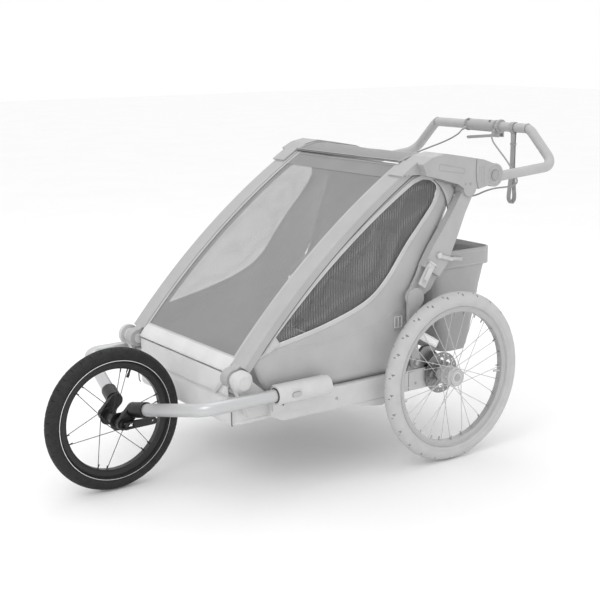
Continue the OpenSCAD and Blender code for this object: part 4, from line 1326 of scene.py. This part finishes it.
def bag_fittings():
    """The straps that hang the bag on the posts' studs, and the rear pocket."""
    for side in (LEFT, RIGHT):
        name = SIDES[side]
        y = side * 333
        line = smooth_path([(-25, y + side * 4, 601), (0, y + side * 3, 594), (16, y + side * 2, 589),
                            (60, side * 300, 577), (100, side * 264, 569), (138, side * 259, 562)], 8)
        strap = build("bag_strap_" + name, [ribbon(line, (0, 0.1 * side, 1), 11, 1.5)], "hem_fabric")
        squash_bag(strap)
        build("bag_stud_" + name, [turned((-25, side * 338.4, 603), (0, side, 0),
                                          [(9, -6), (9, 0.2), (7.5, 1.4), (4, 1.9), (0.01, 1.9)], 28)],
              "pale_plastic", "rear_posts")
    rear = []
    for i in range(25):
        y = -150 + 300 * i / 24
        section = bag_section(0.62)
        rear.append(Vector((section[1] - 2, y, section[2] - 6 * math.sin(math.pi * i / 24))))
    squash_bag(build("bag_pocket_edge", [ribbon([p + Vector((3.4, 0, 0)) for p in rear], (0, 0, 1), 14, 2.2)],
                     "hem_fabric"))


# ---------- wheels ----------


def tread_depth(offset, phi, lanes, pitch):
    """How deep a groove is at that distance along the tread, at angle phi round the section."""
    deep = 0.0
    for low_phi, high_phi, shift, bow in lanes:
        if low_phi < phi < high_phi:
            t = (phi - low_phi) / (high_phi - low_phi)
            at = (shift + bow * math.sin(math.pi * t)) * pitch
            d = abs((offset - at + pitch / 2) % pitch - pitch / 2)
            fade = min(1.0, 6 * t, 6 * (1 - t))
            deep = max(deep, fade * max(0.0, 1 - (d / 1.9) ** 4))
    return deep


def tyre(name, at_x, at_z, y, r, w, material, groove, pitches, lanes, depth, node, body):
    """A tyre with short curved sipes on its shoulders."""
    tube_r = w / 2
    mid_r = r - tube_r
    columns = pitches * 20
    pitch = 2 * math.pi * r / pitches
    section = [math.radians(a) for a in range(-144, 145, 8)]
    points, faces, sunk = [], [], []
    for i in range(columns):
        angle = 2 * math.pi * i / columns
        along = pitch * (i % 20) / 20
        for phi in section:
            deep = tread_depth(along, math.degrees(phi), lanes, pitch)
            sink = depth * deep
            sunk.append(deep)
            rr = mid_r + (tube_r - 0.15 - sink) * math.cos(phi)
            points.append(Vector((at_x + rr * math.cos(angle), y + (tube_r - 0.15 - sink) * math.sin(phi),
                                  at_z + rr * math.sin(angle))))
    n = len(section)
    for i in range(columns):
        a, b = i * n, (i + 1) % columns * n
        faces += [[a + k, a + k + 1, b + k + 1, b + k] for k in range(n - 1)]
    obj = build(name, [(points, faces)], material, sharp=50)
    # Faces sunk in a groove take the darker copy of the rubber: painted shade in the grooves.
    obj.data.materials.append(MATERIALS[groove])
    for face in obj.data.polygons:
        face.material_index = int(sum(sunk[i] for i in face.vertices) / 4 > 0.45)
    thicken(obj, 2.6, -1.0)
    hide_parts(node)
    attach(obj, body)
    return obj


def wheel_ring(at_x, at_z, y, r, tube_r, sides=96):
    return ring((at_x, y, at_z), (0, 1, 0), r, tube_r, sides)


REAR_LANES = [(-66, -22, 0.0, 0.2), (22, 66, 0.5, 0.2), (-40, -8, 0.5, -0.12), (8, 40, 0.0, -0.12)]
FRONT_LANES = [(-50, -8, 0.0, 0.12), (8, 50, 0.5, 0.12)]


def front_wheel():
    x, z = FRONT_AXLE.x, FRONT_AXLE.z
    tyre("front_tyre_cover", x, z, 0, FRONT_R, 43, "front_tyre_rubber", "black_groove",
         40, FRONT_LANES, 0.7, "front_tyre",
         "front_wheel")
    stripes = []
    for side in (LEFT, RIGHT):
        line = [(166.6 + 0.36 * k, side * (21.0 - 0.12 * k)) for k in (-2, -1, 0, 1, 2)]
        stripes.append(stripe(x, z, line))
    build("front_tyre_stripe", stripes, "tyre_stripe", "front_wheel")
    beads = [wheel_ring(x, z, s * 13.6, 160.5, 1.3) for s in (LEFT, RIGHT)]
    beads += [wheel_ring(x, z, s * 19.6, 171.8 + 2.2, 0.5) for s in (LEFT, RIGHT)]
    build("front_tyre_bead", beads, "front_tyre_rubber", "front_wheel")
    valve("front_valve", x, z, 0, 144, math.atan2(126, 55), "black_metal", "front_wheel")
    nipples("front_nipples", x, z, 142, front_spoke_ends(), "black_metal", "front_wheel")
    hub = [wheel_ring(x, z, y, 13.2, 0.8, 40) for y in (-38, -24, 24, 38)]
    hub += [wheel_ring(x, z, y, 24, 1.1, 48) for y in (-30, 30)]
    build("front_hub_rings", hub, "black_metal", "front_wheel")


def stripe(x, z, line, sides=160):
    """A thin raised band on the tyre's wall. line is its section as (radius, y)."""
    points, faces = [], []
    for i in range(sides):
        a = 2 * math.pi * i / sides
        points += [Vector((x + r * math.cos(a), y, z + r * math.sin(a))) for r, y in line]
    n = len(line)
    for i in range(sides):
        a, b = i * n, (i + 1) % sides * n
        faces += [[a + k, a + k + 1, b + k + 1, b + k] for k in range(n - 1)]
    return points, faces


def front_spoke_ends():
    return [(60 * i + 14 + side * 5, -side * 3) for i in range(6) for side in (-1, 1)]


def rear_spoke_ends(y):
    out = []
    for i in range(28):
        side = 1 if i % 2 == 0 else -1
        lean = 1 if i // 2 % 2 == 0 else -1
        out.append((360 * i / 28, y + side * 4 + lean * 1.2))
    return out


def nipples(name, x, z, rim_r, ends, material, body):
    parts = []
    for degrees, y in ends:
        a = math.radians(degrees)
        out = Vector((math.cos(a), 0, math.sin(a)))
        at = Vector((x, y, z)) + out * (rim_r - 11)
        parts.append(turned(at, out, [(1.2, 0), (1.9, 0.8), (1.9, 9.5), (2.6, 10.4), (2.6, 11.2)], 8))
    build(name, parts, material, body)


def valve(name, x, z, y, rim_r, angle, material, body):
    out = Vector((-math.cos(angle), 0, -math.sin(angle)))
    at = Vector((x, y, z)) - out * rim_r
    build(name, [turned(at, out, [(5, -2), (5, 0.4), (4, 1.6), (3, 2.2), (3, 14), (3.9, 14.4), (3.9, 24),
                                  (3.2, 25.6), (0.01, 26)], 20)], material, body)


def rear_wheels():
    for side in (LEFT, RIGHT):
        name = SIDES[side]
        body = "rear_wheel_" + name
        y = side * HALF_TRACK
        tyre("rear_tyre_cover_" + name, 0, AXLE_Z, y, REAR_R, 47, "rear_tyre_rubber", "groove_rubber",
             26, REAR_LANES, 1.3,
             "rear_tyre_" + name, body)
        rings = [wheel_ring(0, AXLE_Z, y + s * 14.4, 206.5, 1.4) for s in (-1, 1)]
        rings += [wheel_ring(0, AXLE_Z, y + s * 21.3, 217, 0.6) for s in (-1, 1)]
        build("rear_tyre_bead_" + name, rings, "rear_tyre_rubber", body)
        valve("rear_valve_" + name, 0, AXLE_Z, y, 195, math.atan2(-14, 174), "pale_plastic", body)
        nipples("rear_nipples_" + name, 0, AXLE_Z, 192, rear_spoke_ends(y), "bare_metal", body)
        spoke_reflector(side, body)
        hub_details(side, body)


def spoke_reflector(side, body):
    y = side * (HALF_TRACK - 5)
    parts = [block((-93, y, 374.5), (82, 9, 24), 3, (0, 30, 0))]
    build("spoke_reflector_" + SIDES[side], parts, "reflector", body)
    cell = [block((-93, y + side * 4.6, 374.5), (72, 1.6, 15), 0.7, (0, 30, 0)),
            block((-93, y - side * 4.6, 374.5), (72, 1.6, 15), 0.7, (0, 30, 0))]
    build("spoke_reflector_lens_" + SIDES[side], cell, "tyre_stripe", body)


def hub_details(side, body):
    out = side * (HALF_TRACK + 22)
    rings = [ring((0, out, AXLE_Z), (0, 1, 0), r, t, 56) for r, t in ((24, 1.0), (18.5, 0.8), (11.5, 0.9))]
    build("hub_cap_rings_" + SIDES[side], rings, "button_plastic", body)
    inner = side * (BEAM_OUT + 9)
    bolts = []
    socket_head = [(3, 0), (3, 1.6), (2.4, 2.2), (1.2, 2.2), (1.2, 1.2), (0.01, 1.2)]
    for k in range(6):
        a = math.radians(60 * k + 12)
        at = (22 * math.cos(a), inner + side * 1.2, AXLE_Z + 22 * math.sin(a))
        bolts.append(turned(at, (0, side, 0), socket_head, 12))
    build("rotor_bolts_" + SIDES[side], bolts, "bare_metal", body)


# ---------- small parts of the frame ----------


def housing_details():
    for side in (LEFT, RIGHT):
        name = SIDES[side]
        y = side * 340
        skin = side * 340.2
        seam = [(108, skin, 871 - 0.4), (106.5, skin, 850), (107, skin, 825), (111, skin, 800),
                (117, skin, 784)]
        build("housing_seam_" + name, [tube(smooth_path(seam, 6), 0.9)], "dark_line", "upper_frame")
        ribs = []
        for x in (121, 131, 141):
            ribs.append(block((x, y, 822), (4.5, 2.4, 52), 1.1, (0, 2, 0)))
        build("housing_ribs_" + name, ribs, "housing_plastic", "upper_frame")
        plate = rounded_plate(-34, 60, 866, 845, 850, 832, y)
        build("housing_panel_" + name, [tube(plate, 0.8, 6, True)], "button_plastic", "upper_frame")
        screws = [screw((85, side * 339.6, 800), (0, side, 0), 4.5),
                  screw((66, side * 339.6, 800), (0, side, 0), 3.2)]
        build("housing_screws_" + name, screws, "button_plastic", "upper_frame")
        arch = [screw((-128, side * 314.6, 837.5), (0, side, 0), 2.4)]
        build("arch_screw_" + name, arch, "button_plastic", "upper_frame")
        p = HANDLE_PIVOT
        rings = [ring((p.x, side * 340.2, p.z), (0, 1, 0), 17.5, 1.6, 56),
                 ring((p.x, side * 340.2, p.z), (0, 1, 0), 27, 0.8, 64)]
        build("button_ring_" + name, rings, "housing_plastic", "upper_frame")
        cap = [ring((p.x, side * 343, p.z), (0, 1, 0), 9, 0.8, 40)]
        build("button_mark_" + name, cap, "button_plastic", "handlebar_button_" + name)


def rounded_plate(x0, x1, z_top0, z_top1, z_low0, z_low1, y):
    """The outline of a plain panel with four corners, as a closed line."""
    return spaced([(x0, y, z_top0 - 2), (x1, y, z_top1), (x1 + 3, y, z_low1 + 1), (x1, y, z_low1 - 1),
                   (x0, y, z_low0 - 4), (x0 - 3, y, z_low0)], 6, True)


def handlebar_details():
    x, z = HANDLE_X, HANDLE_Z
    parts = [screw((x - 10, y, z + 16.2), (-0.5, 0, 0.87), 3.6) for y in (-51, 46)]
    build("mount_screws", parts, "dark_line", "handlebar")
    ribs = [ring((x, y, z), (0, 1, 0), 19.2, 0.9, 48) for y in (-80, -74, 50, 56)]
    ribs.append(ring((x, -92.6, z), (0, 1, 0), 21.4, 1.0, 48))
    build("mount_rings", ribs, "housing_plastic", "handlebar")
    clamp = [block((x - 20, -88.5, z), (9, 8, 11), 2)]
    build("mount_clamp", clamp, "housing_plastic", "handlebar")
    ends = [ring((x, s * 208, z), (0, 1, 0), 15.1, 0.7, 48) for s in (-1, 1)]
    build("grip_rings", ends, "dark_line", "handlebar")


def latch_details():
    """A plain raised frame and finger ridges on each fold latch."""
    lean = math.degrees(math.atan2(189, 297))
    for side in (LEFT, RIGHT):
        c = centre("fold_latch_" + SIDES[side])
        y = high("fold_latch_right").y * side
        out = [block((c.x, y - side * 0.4, c.z), (17, 2, 40), 0.9, (0, lean, 0))]
        for k in (-1, 0, 1):
            d = Vector((math.sin(math.radians(lean)), 0, math.cos(math.radians(lean)))) * (k * 5 - 24)
            out.append(block(Vector((c.x, y, c.z)) + d, (16, 2.2, 1.8), 0.8, (0, lean, 0)))
        build("latch_grip_" + SIDES[side], out, "pale_plastic", "fold_latch_" + SIDES[side])


def lower_frame_details():
    for side in (LEFT, RIGHT):
        name = SIDES[side]
        outer = side * (high("front_pivot_right").y)
        build("pivot_ring_" + name, [ring((JOINT.x, outer - side * 10.2, JOINT.y), (0, 1, 0), 29, 1.1, 56),
                                     ring((JOINT.x, outer - side * 0.3, JOINT.y), (0, 1, 0), 15, 0.8, 48)],
              "pale_plastic", "chassis")
        foot = BEAM_FOOT - 0.4
        plate = [(-352, foot), (-204, foot), (-204, foot - 19), (-214, foot - 23), (-236, foot - 21)]
        thick = [Vector((x, side * (BEAM_OUT - 1), z)) for x, z in plate]
        back = [Vector((x, side * (BEAM_OUT - 30), z)) for x, z in plate]
        n = len(plate)
        faces = [list(range(n)), list(reversed(range(n, 2 * n)))]
        faces += [[i, i + n, (i + 1) % n + n, (i + 1) % n] for i in range(n)]
        under = build("hitch_plate_" + name, [(thick + back, faces)], "pale_plastic", "chassis")
        m = under.modifiers.new("edge", "BEVEL")
        m.width = 0.002
        m.segments = 2
        applied(under)
        skin = side * (BEAM_OUT + 0.1)
        seams = [tube([(-118, skin, BEAM_FOOT + 2), (-118, skin, BEAM_TOP - 2)], 0.8),
                 tube([(-118, skin, BEAM_TOP - 5), (-30, skin, BEAM_TOP - 5)], 0.6)]
        build("beam_seam_" + name, seams, "dark_line", "chassis")
        bolts = [screw((x, side * (BEAM_OUT - 0.2), z), (0, side, 0), 4.2) for x, z in
                 ((-92, 232), (-52, 232), (-380, 240))]
        bolts += [screw((-100, side * 334, 297), (0, side, 0), 7)]
        build("frame_bolts_" + name, bolts, "bare_metal", "chassis")
        a = math.radians(128)
        spot = Vector((rotor_mid(a, 57)[0], side * 337, rotor_mid(a, 57)[1]))
        cal = [screw(spot + Vector((dx, 0, dz)), (0, side, 0), 3.6) for dx, dz in ((-8, -8), (8, 9))]
        build("caliper_bolts_" + name, cal, "bare_metal", "chassis")
        mouth = low("arm_receiver_left").x
        build("receiver_lip_" + name, [ring((mouth + 0.8, side * 340, 295), (1, 0, 0), 23, 2.2, 56)],
              "pale_plastic", "chassis")
        build("fork_collar_" + name, [ring((mouth - 1.5, side * 340, 295), (1, 0, 0), 18.6, 1.2, 48)],
              "black_plastic", "chassis")


def rotor_mid(angle, r):
    return r * math.cos(angle), AXLE_Z + r * math.sin(angle)


def fork_details():
    x, z = FRONT_AXLE.x, FRONT_AXLE.z
    for side in (LEFT, RIGHT):
        bolts = [screw((x + 30 + k * 9, side * 60.2, z + 27 + k * 9), (0, side, 0), 3.0) for k in (0, 1)]
        build("fork_end_bolts_" + SIDES[side], bolts, "bare_metal", "chassis")
    nut = [turned((x, 68.2, z), (0, 1, 0), [(9, -1), (9, 1.5), (7.5, 3), (0.01, 3)], 6)]
    build("axle_nut_face", nut, "black_metal", "chassis")


# ---------- finishes of the CAD pieces that stay ----------

NODE_FINISH = {
    "side_beam": "beam_plastic", "front_crossbar": "bare_metal", "axle_tube": "bare_metal",
    "front_pivot": "pale_plastic", "arm_receiver": "pale_plastic", "axle_brackets": "rotor_metal",
    "brake_calipers": "rotor_metal", "fork_arm": "fork_metal", "fork_end": "black_plastic",
    "front_axle": "black_metal", "receiver_button": "bare_metal", "quick_release_lever": "black_plastic",
    "front_rim": "black_metal", "front_hub": "black_metal", "front_spokes": "black_metal",
    "rear_rim": "frame_metal", "rear_hub": "pale_plastic", "rear_spokes": "spoke_metal",
    "brake_rotor": "rotor_metal", "hub_button": "button_plastic", "side_arch": "arch_metal",
    "top_housing": "housing_plastic", "roof_crossbar": "frame_metal", "lower_struts": "post_plastic",
    "rear_post": "post_plastic", "fold_latch": "pale_plastic", "handlebar_button": "button_plastic",
    "handlebar": "bar_grip", "brake_lever_mount": "housing_plastic", "brake_lever": "button_plastic",
}


def finish_nodes():
    for name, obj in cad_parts.items():
        if obj.hide_render:
            continue
        stem = name.replace("_left", "").replace("_right", "")
        material = MATERIALS[NODE_FINISH[stem]]
        if not obj.data.materials:
            obj.data.materials.append(material)
        for slot in obj.material_slots:
            slot.material = material


# ---------- making ----------

photo_camera()
brake_cables()
studio()
wrist_strap()
side_panels()
panel_trim()
front_cover()
roof_cover()
footwell()
seat()
backrest()
cargo_bag()
front_wheel()
rear_wheels()
housing_details()
handlebar_details()
latch_details()
lower_frame_details()
fork_details()
finish_nodes()
